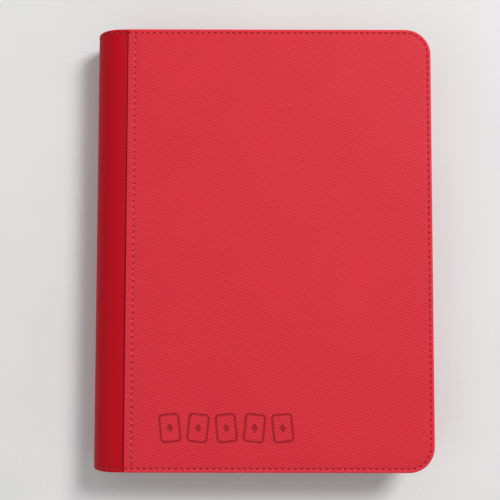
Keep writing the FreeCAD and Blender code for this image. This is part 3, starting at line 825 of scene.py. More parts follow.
@dataclass
class Cover:
    """One cover: leather skin turned in over its edges, padding, seams and cloth lining."""

    plan: Layout
    side: Side
    leather: Material
    thread: Material
    foam: Material
    cloth: Material
    emblem: Emblem | None = None
    thickness: float = 0.9
    turn_in: float = 12.0
    edge_round: float = 1.6
    hem_round: float = 1.2
    swell: float = 0.38             # how far the padding lifts the panel above its rim
    swell_reach: float = 3.2        # how slowly it rises, from the seam inwards
    hinge_dip: float = 0.16         # how far the panel falls again at the seam beside the spine
    hinge_reach: float = 3.0
    panel_round: float = 0.55
    padding_gap: float = 0.06
    padding_inset: float = 8.0      # cover's edge to its padding's
    padding_corner: float = 12.0
    padding_swell: float = 0.3      # from the padding's edge inwards
    padding_reach: float = 3.0
    hem_fold: float = 0.25          # the lining's turned-under edge
    hem_width: float = 0.8
    hem_glue: float = 6.0           # the lining's edge to its line of glue
    lining_dip: float = 0.05        # slow waves of the lining
    lining_wave: tuple[float, float] = (17.0, 23.0)
    stitch_slant: float = -20.0     # of the seam beside the spine, in degrees
    emblem_dark: float = 0.5        # how strongly pressed lines take the painted shade colour: painted shade in the emblem's sunk lines
    edge_groove: Groove = Groove(0.42, 0.35, 0.62, 0.75)
    # painted shade in the perimeter seam's groove, darkest at its needle holes
    edge_shade: Groove = Groove(0.06, 0.80, 0.42, 1.35)
    hinge_groove: Groove = Groove(0.12, 0.40, 0.60, 0.75)
    # painted shade in the groove of the seam beside the spine, darkest at its needle holes
    hinge_shade: Groove = Groove(0.10, 0.90, 0.50, 0.80)
    edge_stitch: Stitch = Stitch(length=2.9, radius=0.32)
    hinge_stitch: Stitch = Stitch(length=3.7, radius=0.42)

    @property
    def name(self) -> str:
        """front or back."""
        return self.side.value

    @property
    def body(self) -> str:
        """The frame's body that the cover is."""
        return f"{self.name}_cover"

    def build(self) -> None:
        """Makes the cover's pieces."""
        self.skin()
        self.seams()
        self.padding()
        self.lining()

    def place(self, points: np.ndarray) -> np.ndarray:
        """Turns points made for the front cover over, if this is the back one."""
        if self.side is Side.FRONT:
            return points
        turned = points.copy()
        turned[:, 2] = self.plan.top_z - turned[:, 2]
        return turned

    def seam_spare(self) -> float:
        """Left over at each end of the perimeter seam when whole stitches are laid along it."""
        return self.seam_length() % self.plan.stitch_pitch / 2

    def seam_length(self) -> float:
        """Length of the perimeter seam."""
        plan = self.plan
        leg = plan.fore_x - plan.corner - plan.panel_x
        return 2 * leg + math.pi * (plan.corner - plan.edge_seam) + 2 * (plan.half_y - plan.corner)

    def samples(self) -> tuple[np.ndarray, np.ndarray, np.ndarray]:
        """Places along x, along y and round a corner, four to a stitch so that needle holes fall on them."""
        plan = self.plan
        quarter = plan.stitch_pitch / 4
        near = np.array([0, 0.06, 0.2, 0.38, 0.6, 1.0, 1.7, 2.6, 3.5, 4.2, 4.7, 5.05, 5.3, plan.hinge_seam,
                         5.7, 5.95, 6.3, 6.8, 7.5])
        leg = plan.fore_x - plan.corner - plan.panel_x
        steps = self.seam_spare() + quarter * np.arange(int(leg / quarter) + 1)
        far = steps[(steps > near[-1] + 0.4) & (steps < leg - 0.4)]
        xs = plan.panel_x + np.concatenate([near, far, [leg]])
        cy = plan.half_y - plan.corner
        half = quarter * np.arange(1, int((cy - 0.4) / quarter) + 1)
        ys = np.concatenate([[-cy], -half[::-1], [0], half, [cy]])
        arc = self.seam_spare() + quarter * np.arange(int(self.seam_length() / quarter))
        bends = (arc - leg) / (plan.corner - plan.edge_seam)
        return xs, ys, bends[(bends > 0.01) & (bends < math.pi / 2 - 0.01)]

    def seam_fields(self, inset: np.ndarray, run: np.ndarray | float, x: np.ndarray, y: np.ndarray,
                    edge: Groove, hinge: Groove) -> tuple[np.ndarray, np.ndarray]:
        """Both seams' grooves at a point of the outer face; the one beside the spine ends at the other.

        Args:
            inset: distance in from the free edges.
            run: distance along the perimeter seam.
            x: place along x.
            y: place along y.
            edge: the perimeter seam's groove.
            hinge: the groove of the seam beside the spine.
        Returns:
            Strength of each.
        """
        plan = self.plan
        pitch = plan.stitch_pitch
        return (edge.at(inset - plan.edge_seam, run - self.seam_spare() + pitch / 2, pitch),
                hinge.at(x - plan.panel_x - plan.hinge_seam, y, pitch) * self.inside(inset))

    def inside(self, inset: np.ndarray) -> np.ndarray:
        """1 inside the perimeter seam, 0 outside it, with a smooth step between."""
        return smoothstep(inset, self.plan.edge_seam - 0.6, self.plan.edge_seam + 1.0)

    def drop(self, inset: np.ndarray, run: np.ndarray | float, x: np.ndarray, y: np.ndarray) -> np.ndarray:
        """How far the outer face lies below its highest level.

        The sum of a quarter-round at the edge, a swell that fades in from the seam, a bell-shaped
        groove along each seam and a dimple at each needle hole, and a small round at the panel's edge.

        Args:
            inset: distance in from the free edges.
            run: distance along the perimeter seam.
            x: place along x.
            y: place along y.
        Returns:
            Depth in millimetres.
        """
        plan = self.plan
        past = x - plan.panel_x
        low = rounded(inset, self.edge_round) + rounded(past, self.panel_round)
        low = low + self.swell * fade(inset - plan.edge_seam, self.swell_reach)
        low = low + self.hinge_dip * fade(past - plan.hinge_seam, self.hinge_reach) * self.inside(inset)
        return low + sum(self.seam_fields(inset, run, x, y, self.edge_groove, self.hinge_groove))

    def painted_shade(self, inset: np.ndarray, run: np.ndarray | float, x: np.ndarray,
                  y: np.ndarray) -> np.ndarray:
        """How dark the leather is painted round each needle hole and, less, along each groove: painted shade
        in them.
        """
        return np.maximum(*self.seam_fields(inset, run, x, y, self.edge_shade, self.hinge_shade))

    def profile(self) -> np.ndarray:
        """The band's cross-section: (inset, fixed height or nan on the outer face, unrolled inset).

        It runs over the outer face from the corner radius out to the edge, down the side, in under
        the board to the end of the turned-in leather, and back inside at the leather's thickness.
        """
        plan = self.plan
        face = [plan.corner, 15.5, 11.5, 8.5, 6.5, 5.3, 4.65, 4.2, 3.85, 3.55, 3.3, 3.0, 2.7,
                2.45, 2.15, 1.9, 1.6, 1.3, 1.0, 0.7, 0.45, 0.22, 0.06, 0.0]
        top = plan.top_z
        low_edge = top - self.swell - self.edge_round
        h, t = self.hem_round, self.thickness
        hem = plan.hem_z
        side = -self.edge_round * 0.57 - 0.4        # unrolled, halfway down the side
        outer = [(d, np.nan, d) for d in face] + [(0.0, (low_edge + hem + h) / 2, side)]
        for turn in np.linspace(0, math.pi / 2, 6):
            outer.append((h - h * math.cos(turn), hem + h - h * math.sin(turn), side - 0.4 - h * turn))
        start = side - 0.4 - h * math.pi / 2
        under = [(d, hem, start - d + h) for d in (3.0, 6.0, 9.0, self.turn_in)]
        inner = [(self.turn_in, hem + t, start - self.turn_in + h), (6.0, hem + t, start - 6),
                 (2.0, hem + t, start - 2), (t, hem + t + 0.8, start), (t, low_edge - 0.4, 0),
                 (2.2, top - 1.8, 2), (6.0, top - 1.8, 6), (9.5, top - t, 9.5), (plan.corner, top - t, 20)]
        return np.array(outer + under + inner)

    def skin(self) -> None:
        """The leather: a middle grid, a band swept round three edges, a wall at the panel's edge."""
        plan = self.plan
        xs, ys, bends = self.samples()
        path = EdgePath(plan, xs, ys, bends, plan.edge_seam)
        section = self.profile()
        outside = np.isnan(section[:, 1])
        flat = path.at(section[:, 0])
        inset, run = np.meshgrid(section[:, 0], path.run)
        face_z = plan.top_z - self.drop(inset, run, flat[..., 0], flat[..., 1])
        band = rows_of(flat[..., 0], flat[..., 1], np.where(outside, face_z, np.nan_to_num(section[:, 1])))
        band_pattern = path.at(section[:, 2]).reshape(-1, 2)
        band_dark = self.painted_shade(inset, run, flat[..., 0], flat[..., 1]) * outside
        band_wear = np.tile(bell(section[:, 0] - 1.0, 1.1) * outside, len(flat))
        rows, columns = flat.shape[:2]

        x, y = np.meshgrid(xs, ys, indexing="ij")
        inset = np.minimum(plan.fore_x - x, plan.half_y - np.abs(y))
        z = plan.top_z - self.drop(inset, 0.0, x, y)
        middle = rows_of(x, y, z)
        middle_dark = self.painted_shade(inset, 0.0, x, y)
        first, below = len(band), len(band) + len(middle)
        count = len(ys)
        under = np.column_stack([np.full(count, plan.panel_x), ys,
                                 np.full(count, plan.top_z - self.thickness)])
        j = np.arange(count - 1)
        wall = np.stack([first + j, first + j + 1, below + j + 1, below + j], 1)
        inner_rim = (np.arange(rows) * columns + columns - 1).tolist()
        faces = tube(rows, columns, closed=False) + quads(len(xs), count, first=first).tolist()
        faces += wall.tolist() + [inner_rim + (below + np.arange(count))[::-1].tolist()[1:-1]]

        points = np.concatenate([band, middle, under])
        pattern = np.concatenate([band_pattern, middle[:, :2], under[:, :2] - [self.thickness, 0]])
        # pressed mark: painted shade along the seams' grooves and needle holes, and full painted shade on
        # the wall's under edge at the panel's edge, where the panel casts its shadow line
        marks = {"wear": np.concatenate([band_wear, bell(x.ravel() - plan.panel_x, 0.5), np.zeros(count)]),
                 "pressed": np.concatenate([band_dark.ravel(), middle_dark.ravel(), np.ones(count)])}
        piece = make_piece(f"{self.name}_cover_skin", self.place(points), faces, pattern, marks)
        if self.emblem:
            self.press(piece)
        settle(piece, self.leather, [f"{self.name}_cover_leather"], self.body)
        wrap = self.turn_in + plan.top_z - plan.hem_z - 2
        flat_size = ((plan.fore_x - plan.panel_x + wrap) * MM, 2 * (plan.half_y + wrap) * MM)

    def press(self, piece: Piece) -> None:
        """Presses the emblem into the skin: finer faces there first, then each point goes down."""
        top = self.plan.top_z - 0.5
        work = bmesh.new()
        work.from_mesh(piece.data)
        work.faces.ensure_lookup_table()
        middle = np.array([face.calc_center_median() for face in work.faces]) / MM
        near = (self.emblem.reach(middle[:, 0], middle[:, 1]) < 1.5) & (middle[:, 2] > top)
        chosen = [face for face, wanted in zip(work.faces, near) if wanted and len(face.verts) == 4]
        edges = list({edge for face in chosen for edge in face.edges})
        bmesh.ops.subdivide_edges(work, edges=edges, cuts=3, use_grid_fill=True)
        work.to_mesh(piece.data)
        work.free()
        count = len(piece.data.vertices)
        places = np.zeros(count * 3)
        piece.data.vertices.foreach_get("co", places)
        places = places.reshape(-1, 3) / MM
        near = places[:, 2] > top
        sunk = self.emblem.sunk(places[:, 0], places[:, 1]) * near
        places[:, 2] -= sunk * self.emblem.depth
        piece.data.vertices.foreach_set("co", (places * MM).ravel())
        pressed = np.zeros(count, dtype=np.float32)
        piece.data.attributes["pressed"].data.foreach_get("value", pressed)
        # the emblem's sunk lines take the shadow colour: painted shade in them
        pressed = np.maximum(pressed, sunk * self.emblem_dark).astype(np.float32)
        piece.data.attributes["pressed"].data.foreach_set("value", pressed)
        piece.data.update()

    def seams(self) -> None:
        """Single stitches in the perimeter groove and in the groove beside the spine."""
        plan = self.plan
        pitch = plan.stitch_pitch
        path = even_path(plan, plan.panel_x, 1.0, plan.edge_seam)
        count = int(path.length / pitch)
        flat, heading = follow(path, plan.edge_seam, self.seam_spare() + (np.arange(count) + 0.5) * pitch)
        level = plan.top_z - self.swell - self.edge_groove.line + self.edge_stitch.radius * 0.5
        self.seam("edge_seam", self.edge_stitch, flat, heading, level, [f"{self.name}_stitching"])

        rows = int((2 * (plan.half_y - plan.edge_seam) - pitch) / pitch)
        y = (np.arange(rows) - (rows - 1) / 2) * pitch
        flat = np.column_stack([np.full(rows, plan.panel_x + plan.hinge_seam), y])
        slant = math.radians(self.stitch_slant)
        heading = np.tile([math.sin(slant), math.cos(slant)], (rows, 1))
        self.seam("hinge_seam", self.hinge_stitch, flat, heading,
                  plan.top_z - self.hinge_stitch.radius - 0.02, [])

    def seam(self, name: str, stitch: Stitch, flat: np.ndarray, heading: np.ndarray, level: float,
             replaces: Sequence[str]) -> None:
        """Lays stitches at places in the plane, at one level.

        Args:
            name: the seam's name.
            stitch: the stitch.
            flat: place of each in the plane.
            heading: unit direction of each there.
            level: height of them all on the front cover.
            replaces: CAD nodes that the seam stands for.
        """
        count = len(flat)
        places = np.column_stack([flat, np.full(count, level)])
        along = np.column_stack([heading, np.zeros(count)])
        up = np.tile([0.0, 0.0, 1.0 if self.side is Side.FRONT else -1.0], (count, 1))
        piece = stitch.row(f"{self.name}_cover_{name}", self.place(places), along, up)
        settle(piece, self.thread, replaces, self.body)

    def padding(self) -> None:
        """Foam sheet: its lower face lies on the board, its upper one swells from the seam inwards."""
        plan = self.plan
        low, high = box_mm(f"{self.name}_cover_foam")
        level = plan.top_z - self.thickness
        bottom = level - (high[2] - low[2]) + self.padding_gap
        fore = plan.fore_x - self.padding_inset
        x = np.linspace(low[0], fore, 41)
        half = plan.half_y - self.padding_inset - rounded(fore - x, self.padding_corner)
        gx, gv = np.meshgrid(x, np.linspace(-1, 1, 41), indexing="ij")
        gy = gv * half[:, None]
        inset = np.minimum(plan.fore_x - gx, plan.half_y - np.abs(gy))
        sink = self.padding_swell * fade(inset - self.padding_inset, self.padding_reach)
        sink = sink + 0.2 * fade(gx - low[0], self.padding_reach)
        top = rows_of(gx, gy, level - self.padding_gap - sink)
        points = np.concatenate([top, rows_of(gx, gy, bottom)])
        piece = make_piece(f"{self.name}_cover_padding", self.place(points), slab(*gx.shape))
        settle(piece, self.foam, [f"{self.name}_cover_foam"], self.body)

    def lining(self) -> None:
        """Cloth lining: a thin sheet, turned under at its hem, with a bell-shaped line of glue inside it.

        Slow crossed sines let it dip a little.
        """
        plan = self.plan
        low, high = box_mm(f"{self.name}_lining")
        inner = plan.mid_z + plan.lining_radius
        x = np.concatenate([low[0] + np.array([0, 0.3]), np.linspace(low[0] + 2, high[0] - 3, 60),
                            high[0] - np.array([1.8, 0.9, 0.3, 0])])
        v = np.concatenate([[-1, -0.998, -0.992], np.linspace(-0.98, 0.98, 60), [0.992, 0.998, 1]])
        half = high[1] - rounded(high[0] - x, plan.corner - (plan.fore_x - high[0]))
        gx, gv = np.meshgrid(x, v, indexing="ij")
        gy = gv * half[:, None]
        edge = np.minimum(high[0] - gx, high[1] - np.abs(gy))
        fold = self.hem_fold * (1 - smoothstep(edge, 0.0, self.hem_width))
        waves = np.sin(gx / self.lining_wave[0]) * np.sin(gy / self.lining_wave[1])
        dip = self.lining_dip * waves + 0.18 * bell(edge - self.hem_glue, 0.5)
        lower = rows_of(gx, gy, inner + fold + np.maximum(dip, 0))
        points = np.concatenate([lower, rows_of(gx, gy, inner + high[2] - low[2] - 0.02)])
        piece = make_piece(f"{self.name}_cover_lining", self.place(points), slab(*gx.shape), points[:, :2])
        settle(piece, self.cloth, [f"{self.name}_lining"], self.body)


# ---------------------------------------------------------------- spine

@dataclass
class Spine:
    """The round spine, in four strips that each span one fold line.

    A strip runs from the middle of one rigid section to the middle of the next, so strips meet where both
    follow the same section.
    """

    plan: Layout
    leather: Material
    thread: Material
    foam: Material
    cloth: Material
    leather_thickness: float = 0.9
    lining_thickness: float = 0.6
    padding_gap: float = 0.05
    padding_slack: float = 0.28     # more room under the leather, for its seam's groove
    tail: float = 8.0               # lap under the cover's panel
    turn_in: float = 10.0
    end_round: float = 1.7
    end_seam: float = 3.0
    crease_depth: float = 0.5
    crease_width: float = 0.55
    crease_place: float = 0.5       # a panel's edge to the crease
    padding_inset: float = 1.6      # the spine's ends to its padding's
    padding_chamfer: float = 0.4
    lining_inset: float = 5.6
    tuck_in: float = 1.5            # how far the lap's ends stay inside the cover's leather
    tuck_lift: float = 0.1          # share by which the lap is thinner than the spine
    per_strip: int = 36
    groove: Groove = Groove(0.30, 0.25, 0.60, 0.75)
    # painted shade in the end seams' groove, darkest at the needle holes
    groove_shade: Groove = Groove(0.20, 0.60, 0.55, 0.90)
    stitch: Stitch = Stitch(length=3.5, radius=0.3)

    BODIES = ("back_cover", "spine_lower", "spine_middle", "spine_upper", "front_cover")
    LEATHERS = (("back_hinge_leather",), ("spine_leather_lower",), ("spine_leather_middle",),
                ("spine_leather_upper", "front_hinge_leather"))

    def build(self) -> None:
        """Makes the strips of every layer."""
        for number in range(4):
            self.skin(number)
            self.padding(number)
            self.lining(number)
            self.end_stitches(number)

    def span(self, number: int, reach: float) -> tuple[float, float]:
        """Start and end of a strip, as distance along the outer face from the spine's middle."""
        eighth = self.plan.spine_radius * math.pi / 4
        start, end = (number - 2) * eighth, (number - 1) * eighth
        return (start - reach if number == 0 else start), (end + reach if number == 3 else end)

    def panel_edge(self) -> float:
        """Distance along the outer face from the spine's middle to a cover panel's edge."""
        return self.plan.spine_radius * math.pi / 2 + self.plan.panel_x - self.plan.arc_x

    def lap(self) -> float:
        """Length of the tail beyond the round."""
        return self.plan.panel_x - self.plan.arc_x + self.tail

    def lining_depth(self) -> float:
        """Depth of the lining's glued face under the outer face."""
        return self.plan.spine_radius - self.plan.lining_radius - self.lining_thickness

    def curve(self, a: np.ndarray) -> tuple[np.ndarray, np.ndarray, np.ndarray, np.ndarray]:
        """The outer face's line: a half circle with a straight tail under each cover's panel.

        Args:
            a: distance along it from the spine's middle, rising towards the front cover.
        Returns:
            x, z and the outward direction's x and z.
        """
        plan = self.plan
        quarter = plan.spine_radius * math.pi / 2
        turn = np.clip(a, -quarter, quarter) / plan.spine_radius
        past = a - np.clip(a, -quarter, quarter)
        x = plan.arc_x - plan.spine_radius * np.cos(turn) + np.abs(past)
        z = plan.mid_z + plan.spine_radius * np.sin(turn)
        return x, z, -np.cos(turn), np.sin(turn)

    def steps(self, number: int, reach: float) -> np.ndarray:
        """Distances along the curve for a strip, close together at a panel's edge."""
        if number in (1, 2) or not reach:
            return np.linspace(*self.span(number, reach), self.per_strip + 1)
        bend = self.plan.spine_radius * math.pi / 2
        near = np.array([-3.4, -1.7, -1.25, -0.95, -0.7, -0.45, -0.2, 0.1, 0.5])
        a = np.concatenate([np.linspace(bend / 2, bend, self.per_strip + 1), self.panel_edge() + near,
                            [bend + reach]])
        return -a[::-1] if number == 0 else a

    def sweep(self, name: str, number: int, section: np.ndarray, reach: float,
              flat_y: np.ndarray | None = None) -> Piece:
        """Carries a closed section along the curve.

        Args:
            name: the piece's name.
            number: which strip.
            section: (y, depth under the outer face) of each point round the section.
            reach: length of the straight tail at the outer strips.
            flat_y: y of each section point once unrolled, for sewn leather; other layers have none.
        Returns:
            The object.
        """
        a = self.steps(number, reach)
        x, z, nx, nz = self.curve(a)
        y = section[:, 0]
        tucked = smoothstep(np.abs(a) - self.panel_edge(), 0.0, 0.5)[:, None]
        depth = section[:, 1] * (1 - self.tuck_lift * tucked)
        sewn = flat_y is not None
        marks = None
        if sewn:
            outer = section[:, 1] < self.leather_thickness / 2
            sunk, dark = self.seams(a[:, None], y)
            depth += sunk * outer
            wear = np.tile(bell(np.abs(y) - self.plan.half_y + 0.6, 0.9), len(a))
            # pressed mark: painted shade along the end seams and the creases beside the panels
            marks = {"wear": wear, "pressed": (dark * outer).ravel()}
        px = x[:, None] - nx[:, None] * depth
        pz = z[:, None] - nz[:, None] * depth
        py = y * (1 - self.tuck_in / self.plan.half_y * tucked)
        pattern = rows_of(a[:, None], flat_y if sewn else y)
        return make_piece(name, rows_of(px, py, pz), tube(*px.shape), pattern, marks)

    def seams(self, a: np.ndarray, y: np.ndarray) -> tuple[np.ndarray, np.ndarray]:
        """The seam across each end and the crease beside each panel, which is a bell.

        Args:
            a: distance along the curve.
            y: place along the spine.
        Returns:
            Extra depth, and how dark the leather is painted: painted shade in the seam's groove and holes,
            and along the crease, where the panel's edge casts its shadow.
        """
        off = np.abs(y) - self.plan.half_y + self.end_seam
        pitch = self.plan.stitch_pitch
        crease = bell(np.abs(a) - self.panel_edge() + self.crease_place, self.crease_width)
        # the crease's darkness is painted shade, the shadow line that the panel's edge casts on the spine
        return (self.groove.at(off, a, pitch) + self.crease_depth * crease,
                np.maximum(self.groove_shade.at(off, a, pitch), np.sqrt(crease)))

    def hold(self, piece: Piece) -> None:
        """Bakes a strip's transform into its mesh."""
        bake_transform(piece)

    def leather_section(self) -> tuple[np.ndarray, np.ndarray]:
        """The leather's closed section: over the face, round both ends, in under the padding and back.

        Returns:
            (y, depth) of each point, and its y once unrolled.
        """
        half, r, t = self.plan.half_y, self.end_round, self.leather_thickness
        inside = self.lining_depth()
        turn = np.linspace(0, math.pi / 2, 7)
        near = np.array([0.3, 0.9, 1.3, 1.6, 1.9, 2.3, 3.0, 4.5, 7.0, 11.0])
        face = np.concatenate([half - r - near, np.linspace(half - r - 16.0, 0, 22)])
        over = np.column_stack([half - r + r * np.cos(turn), r - r * np.sin(turn)])
        under = (over * [1, -1] + [0, inside])[::-1]
        outer = np.concatenate([[(half - self.turn_in, inside), (half - 3.0, inside)], under, over,
                                np.column_stack([face, np.zeros(len(face))])])
        inner = np.array([(half - self.turn_in, inside - t), (half - 2.4, inside - t),
                          (half - 1.2, inside - t - 0.6), (half - 1.2, t + 0.6), (half - 2.4, t),
                          (half - 5.0, t + 0.25), (0.0, t)])
        flip = [-1.0, 1.0]
        section = np.concatenate([outer, (outer * flip)[::-1][1:], inner * flip, inner[::-1][1:]])
        run = np.concatenate([[0], np.cumsum(np.hypot(*np.diff(outer, axis=0).T))])
        unrolled = run[-1] - run
        back = inner[:, 0]
        return section, np.concatenate([unrolled, -unrolled[::-1][1:], -back, back[::-1][1:]])

    def skin(self, number: int) -> None:
        """Leather strip, turned in round both of the spine's ends."""
        section, flat_y = self.leather_section()
        piece = self.sweep(f"spine_skin_{number + 1}", number, section, self.lap(), flat_y)
        settle(piece, self.leather, self.LEATHERS[number])
        self.hold(piece)
        self.declare(number, self.lap(), 1.0, 2 * flat_y[0])

    def declare(self, number: int, reach: float, share: float, width: float) -> None:
        """Works out a strip's arc, times its share of the radius, and its width, but keeps neither."""
        start, end = self.span(number, reach)
        (end - start) * share * MM
        width * MM

    def padding(self, number: int) -> None:
        """Foam strip between the spine's leather and its lining."""
        top = self.leather_thickness + self.padding_gap + self.padding_slack
        foot = self.lining_depth() - self.leather_thickness - self.padding_gap
        half, chamfer = self.plan.half_y - self.padding_inset, self.padding_chamfer
        section = np.array([(-half, foot - chamfer), (-half, top + chamfer), (0.5 - half, top),
                            (half - 0.5, top), (half, top + chamfer), (half, foot - chamfer),
                            (half - 0.5, foot), (0.5 - half, foot)])
        piece = self.sweep(f"spine_padding_{number + 1}", number, section, 0.0)
        settle(piece, self.foam, self.rigid("spine_padding", number))
        self.hold(piece)

    def lining(self, number: int) -> None:
        """Cloth strip on the inside of the spine, which meets the covers' linings."""
        depth = self.lining_depth()
        half = self.plan.half_y - self.lining_inset
        y = np.linspace(-half, half, 40)
        section = np.concatenate([np.column_stack([y, np.full(40, depth + self.lining_thickness)]),
                                  np.column_stack([y[::-1], np.full(40, depth + 0.02)])])
        piece = self.sweep(f"spine_lining_{number + 1}", number, section, 0.0)
        settle(piece, self.cloth, self.rigid("spine_lining", number))
        self.hold(piece)
        self.declare(number, 0.0, self.plan.lining_radius / self.plan.spine_radius, 2 * half)

    @staticmethod
    def rigid(layer: str, number: int) -> list[str]:
        """The CAD node that a strip stands for. Strip 0 has none, since there are only three nodes."""
        return [f"{layer}_{('lower', 'middle', 'upper')[number - 1]}"] if number else []

    def end_stitches(self, number: int) -> None:
        """Stitches of the seam that runs on across the spine's head and foot."""
        pitch = self.plan.stitch_pitch
        count = int((self.panel_edge() - pitch / 2) / pitch)
        a = np.arange(-count, count + 1) * pitch
        start, end = self.span(number, self.lap())
        a = a[(a > start - 1e-6) & (a <= end)] if number else a[a <= end]
        x, z, nx, nz = self.curve(a)
        depth = self.groove.line - self.stitch.radius * 0.7
        line = np.full(len(a), self.plan.half_y - self.end_seam)
        level = np.zeros(len(a))
        places = [np.column_stack([x - nx * depth, side * line, z - nz * depth]) for side in (-1, 1)]
        along = np.column_stack([nz, level, -nx])
        up = np.column_stack([nx, level, nz])
        piece = self.stitch.row(f"spine_seam_{number + 1}", np.concatenate(places),
                                np.tile(along, (2, 1)), np.tile(up, (2, 1)))
        settle(piece, self.thread)
        self.hold(piece)


# ---------------------------------------------------------------- zip

@dataclass
class Zip:
    """Both tapes, the moulded teeth and the leather strap of the pull."""

    plan: Layout
    tape: Material
    teeth: Material
    strap: Material
    thread: Material
    pitch: float = 2.8
    wall_inset: float = 5.3
    bulge: float = 0.45
    waves: tuple[tuple[float, float], ...] = ((0.12, 19.0), (0.10, 7.7))    # share of bulge, length
    flange_thickness: float = 0.6
    half: float = 0.3               # half a tape's thickness
    cord: float = 0.75              # radius of its corded edge, along its wall
    cord_swell: float = 0.3         # how far that edge swells on each side
    cord_reach: float = 0.8         # the corded edge runs in between the teeth's feet
    tail_corner: float = 1.4

    def build(self) -> None:
        """Makes the tapes, the teeth and the strap."""
        self.make_tape(Side.FRONT)
        self.make_tape(Side.BACK)
        self.make_teeth()
        self.make_stops()
        self.make_strap()

    def corded_edge(self, foot: float) -> tuple[np.ndarray, np.ndarray]:
        """Heights, and distances from the wall's middle, down one side of a corded edge: a half ellipse."""
        turn = np.linspace(math.pi / 2, -math.pi / 2, 7)
        return foot + self.cord + self.cord * np.sin(turn), self.half + self.cord_swell * np.cos(turn)

    def make_tape(self, side: Side) -> None:
        """One tape: a flange sewn under the cover and a wall that ends in a corded edge.

        The section is carried round the edge path; the wall's inset is wall_inset less a half sine
        of the height, and slow sines along the run let it wave a little.
        """
        plan = self.plan
        front = side is Side.FRONT
        nodes = [f"{side.value}_zip_tape"]
        low, high = box_mm(nodes[0])
        top = high[2] if front else plan.top_z - low[2]
        foot = (low[2] if front else plan.top_z - high[2]) - self.cord_reach
        path = even_path(plan, low[0] if front else plan.arc_x + 0.3, 3.0, self.wall_inset)
        flange = plan.fore_x - high[0]
        knee = top - self.flange_thickness
        wall = np.linspace(knee, foot + 2 * self.cord, 12)
        cord, swell = self.corded_edge(foot)
        near, far = np.full(12, self.wall_inset - self.half), np.full(12, self.wall_inset + self.half)
        d = np.concatenate([[flange, flange, near[0] - 0.4], near, self.wall_inset - swell,
                            self.wall_inset + swell[::-1], far, far[:1]])
        z = np.concatenate([[top, top - 0.5, knee], wall, cord, cord[::-1], wall[::-1], [top]])
        share = np.clip((knee - z) / (top - foot), 0, 1)
        wave = sum(size * np.sin(path.run / length + number)
                   for number, (size, length) in enumerate(self.waves))
        lift = self.bulge * np.sin(math.pi * share) * (1 + wave[:, None])
        flat = path.points[:, None, :] - path.outward[:, None, :] * (d - lift)[..., None]
        level = z if front else plan.top_z - z
        points = rows_of(flat[..., 0], flat[..., 1], level)
        faces = tube(*lift.shape)
        around = np.concatenate([[0], np.cumsum(np.hypot(np.diff(d), np.diff(z)))])
        pattern = rows_of(path.run[:, None], around)
        if not front:
            tail_points, tail_faces, tail_pattern = self.tails()
            faces += [[corner + len(points) for corner in face] for face in tail_faces]
            points = np.concatenate([points, tail_points])
            pattern = np.concatenate([pattern, tail_pattern])
            nodes.append("zip_tail_tapes")
        piece = make_piece(f"{side.value}_tape", points, faces, pattern)
        settle(piece, self.tape, nodes, f"{side.value}_cover")
        (top - foot + self.wall_inset - flange) * MM

    def tails(self) -> tuple[np.ndarray, list[list[int]], np.ndarray]:
        """Ends of the front tape that stay joined to the back one, with a corded edge and a round corner.

        Returns:
            Points, faces and pattern.
        """
        low, high = box_mm("zip_tail_tapes")
        foot, top = low[2] - self.cord_reach, high[2]
        half, r = self.half, self.tail_corner
        cord, swell = self.corded_edge(foot)
        turn = np.linspace(-math.pi / 2, math.pi / 2, 7)
        wall = np.linspace(top - half, foot + 2.0, 5)
        off = np.concatenate([half * np.sin(turn), np.full(5, half), swell, -swell[::-1],
                              np.full(5, -half)])
        level = np.concatenate([top - half + half * np.cos(turn), wall, cord, cord[::-1], wall[::-1]])
        share = (level - foot) / (top - foot)
        run = np.concatenate([[0, 0.1, 0.25, 0.5, 0.9, r], np.linspace(r + 0.8, high[0] - low[0], 9)])
        z = foot + share * (top - foot - rounded(run, r))[:, None]
        x = low[0] + run[:, None]
        line = self.plan.half_y - self.wall_inset + off
        points = np.concatenate([rows_of(x, end * line, z) for end in (1, -1)])
        around = np.concatenate([[0], np.cumsum(np.hypot(np.diff(off), np.diff(level)))])
        return points, copies(tube(*z.shape), z.size, 2), np.tile(rows_of(x, around), (2, 1))

    @staticmethod
    def block(level: np.ndarray, along: np.ndarray, across: np.ndarray, sides: int,
              power: float) -> tuple[np.ndarray, list[list[int]]]:
        """A moulded block: at each level a superellipse with that level's half-widths.

        Args:
            level: heights.
            along: half-width along x at each.
            across: half-width along y at each.
            sides: points round it.
            power: 1 for an ellipse, and nearer 0 for a squarer block.
        Returns:
            Points and faces.
        """
        c, s = squircle((np.arange(sides) + 0.5) * 2 * math.pi / sides, power)
        return rows_of(along[:, None] * c, across[:, None] * s, level[:, None]), tube(len(level), sides)

    def teeth_row(self, name: str, flat: np.ndarray, heading: np.ndarray, flip: np.ndarray,
                  node: str, body: str) -> None:
        """Teeth at places along the chain: rounded blocks, waisted between head and foot, tip down.

        Args:
            name: the piece's name.
            flat: place of each tooth in the plane.
            heading: unit direction of the chain there.
            flip: 1 for a tooth whose foot is up, -1 for one whose foot is down.
            node: the CAD node that the row stands for.
            body: the body it rides on.
        """
        level = np.array([-0.90, -0.78, -0.35, 0.45, 1.1, 2.2, 3.0, 3.2])
        along = np.array([0.34, 0.52, 0.62, 0.60, 0.44, 0.50, 0.50, 0.36])
        across = np.array([0.75, 1.0, 1.16, 1.2, 1.0, 1.15, 1.15, 0.9])
        tooth, faces = self.block(level, along, across, 12, 0.5)
        count = len(flat)
        places = np.column_stack([flat, np.full(count, self.plan.mid_z)])
        axes = (np.column_stack([heading, np.zeros(count)]),
                np.column_stack([-heading[:, 1], heading[:, 0], np.zeros(count)]),
                np.outer(flip, [0.0, 0.0, 1.0]))
        piece = scatter(name, tooth, faces, places, axes)
        settle(piece, self.teeth, [node], body)

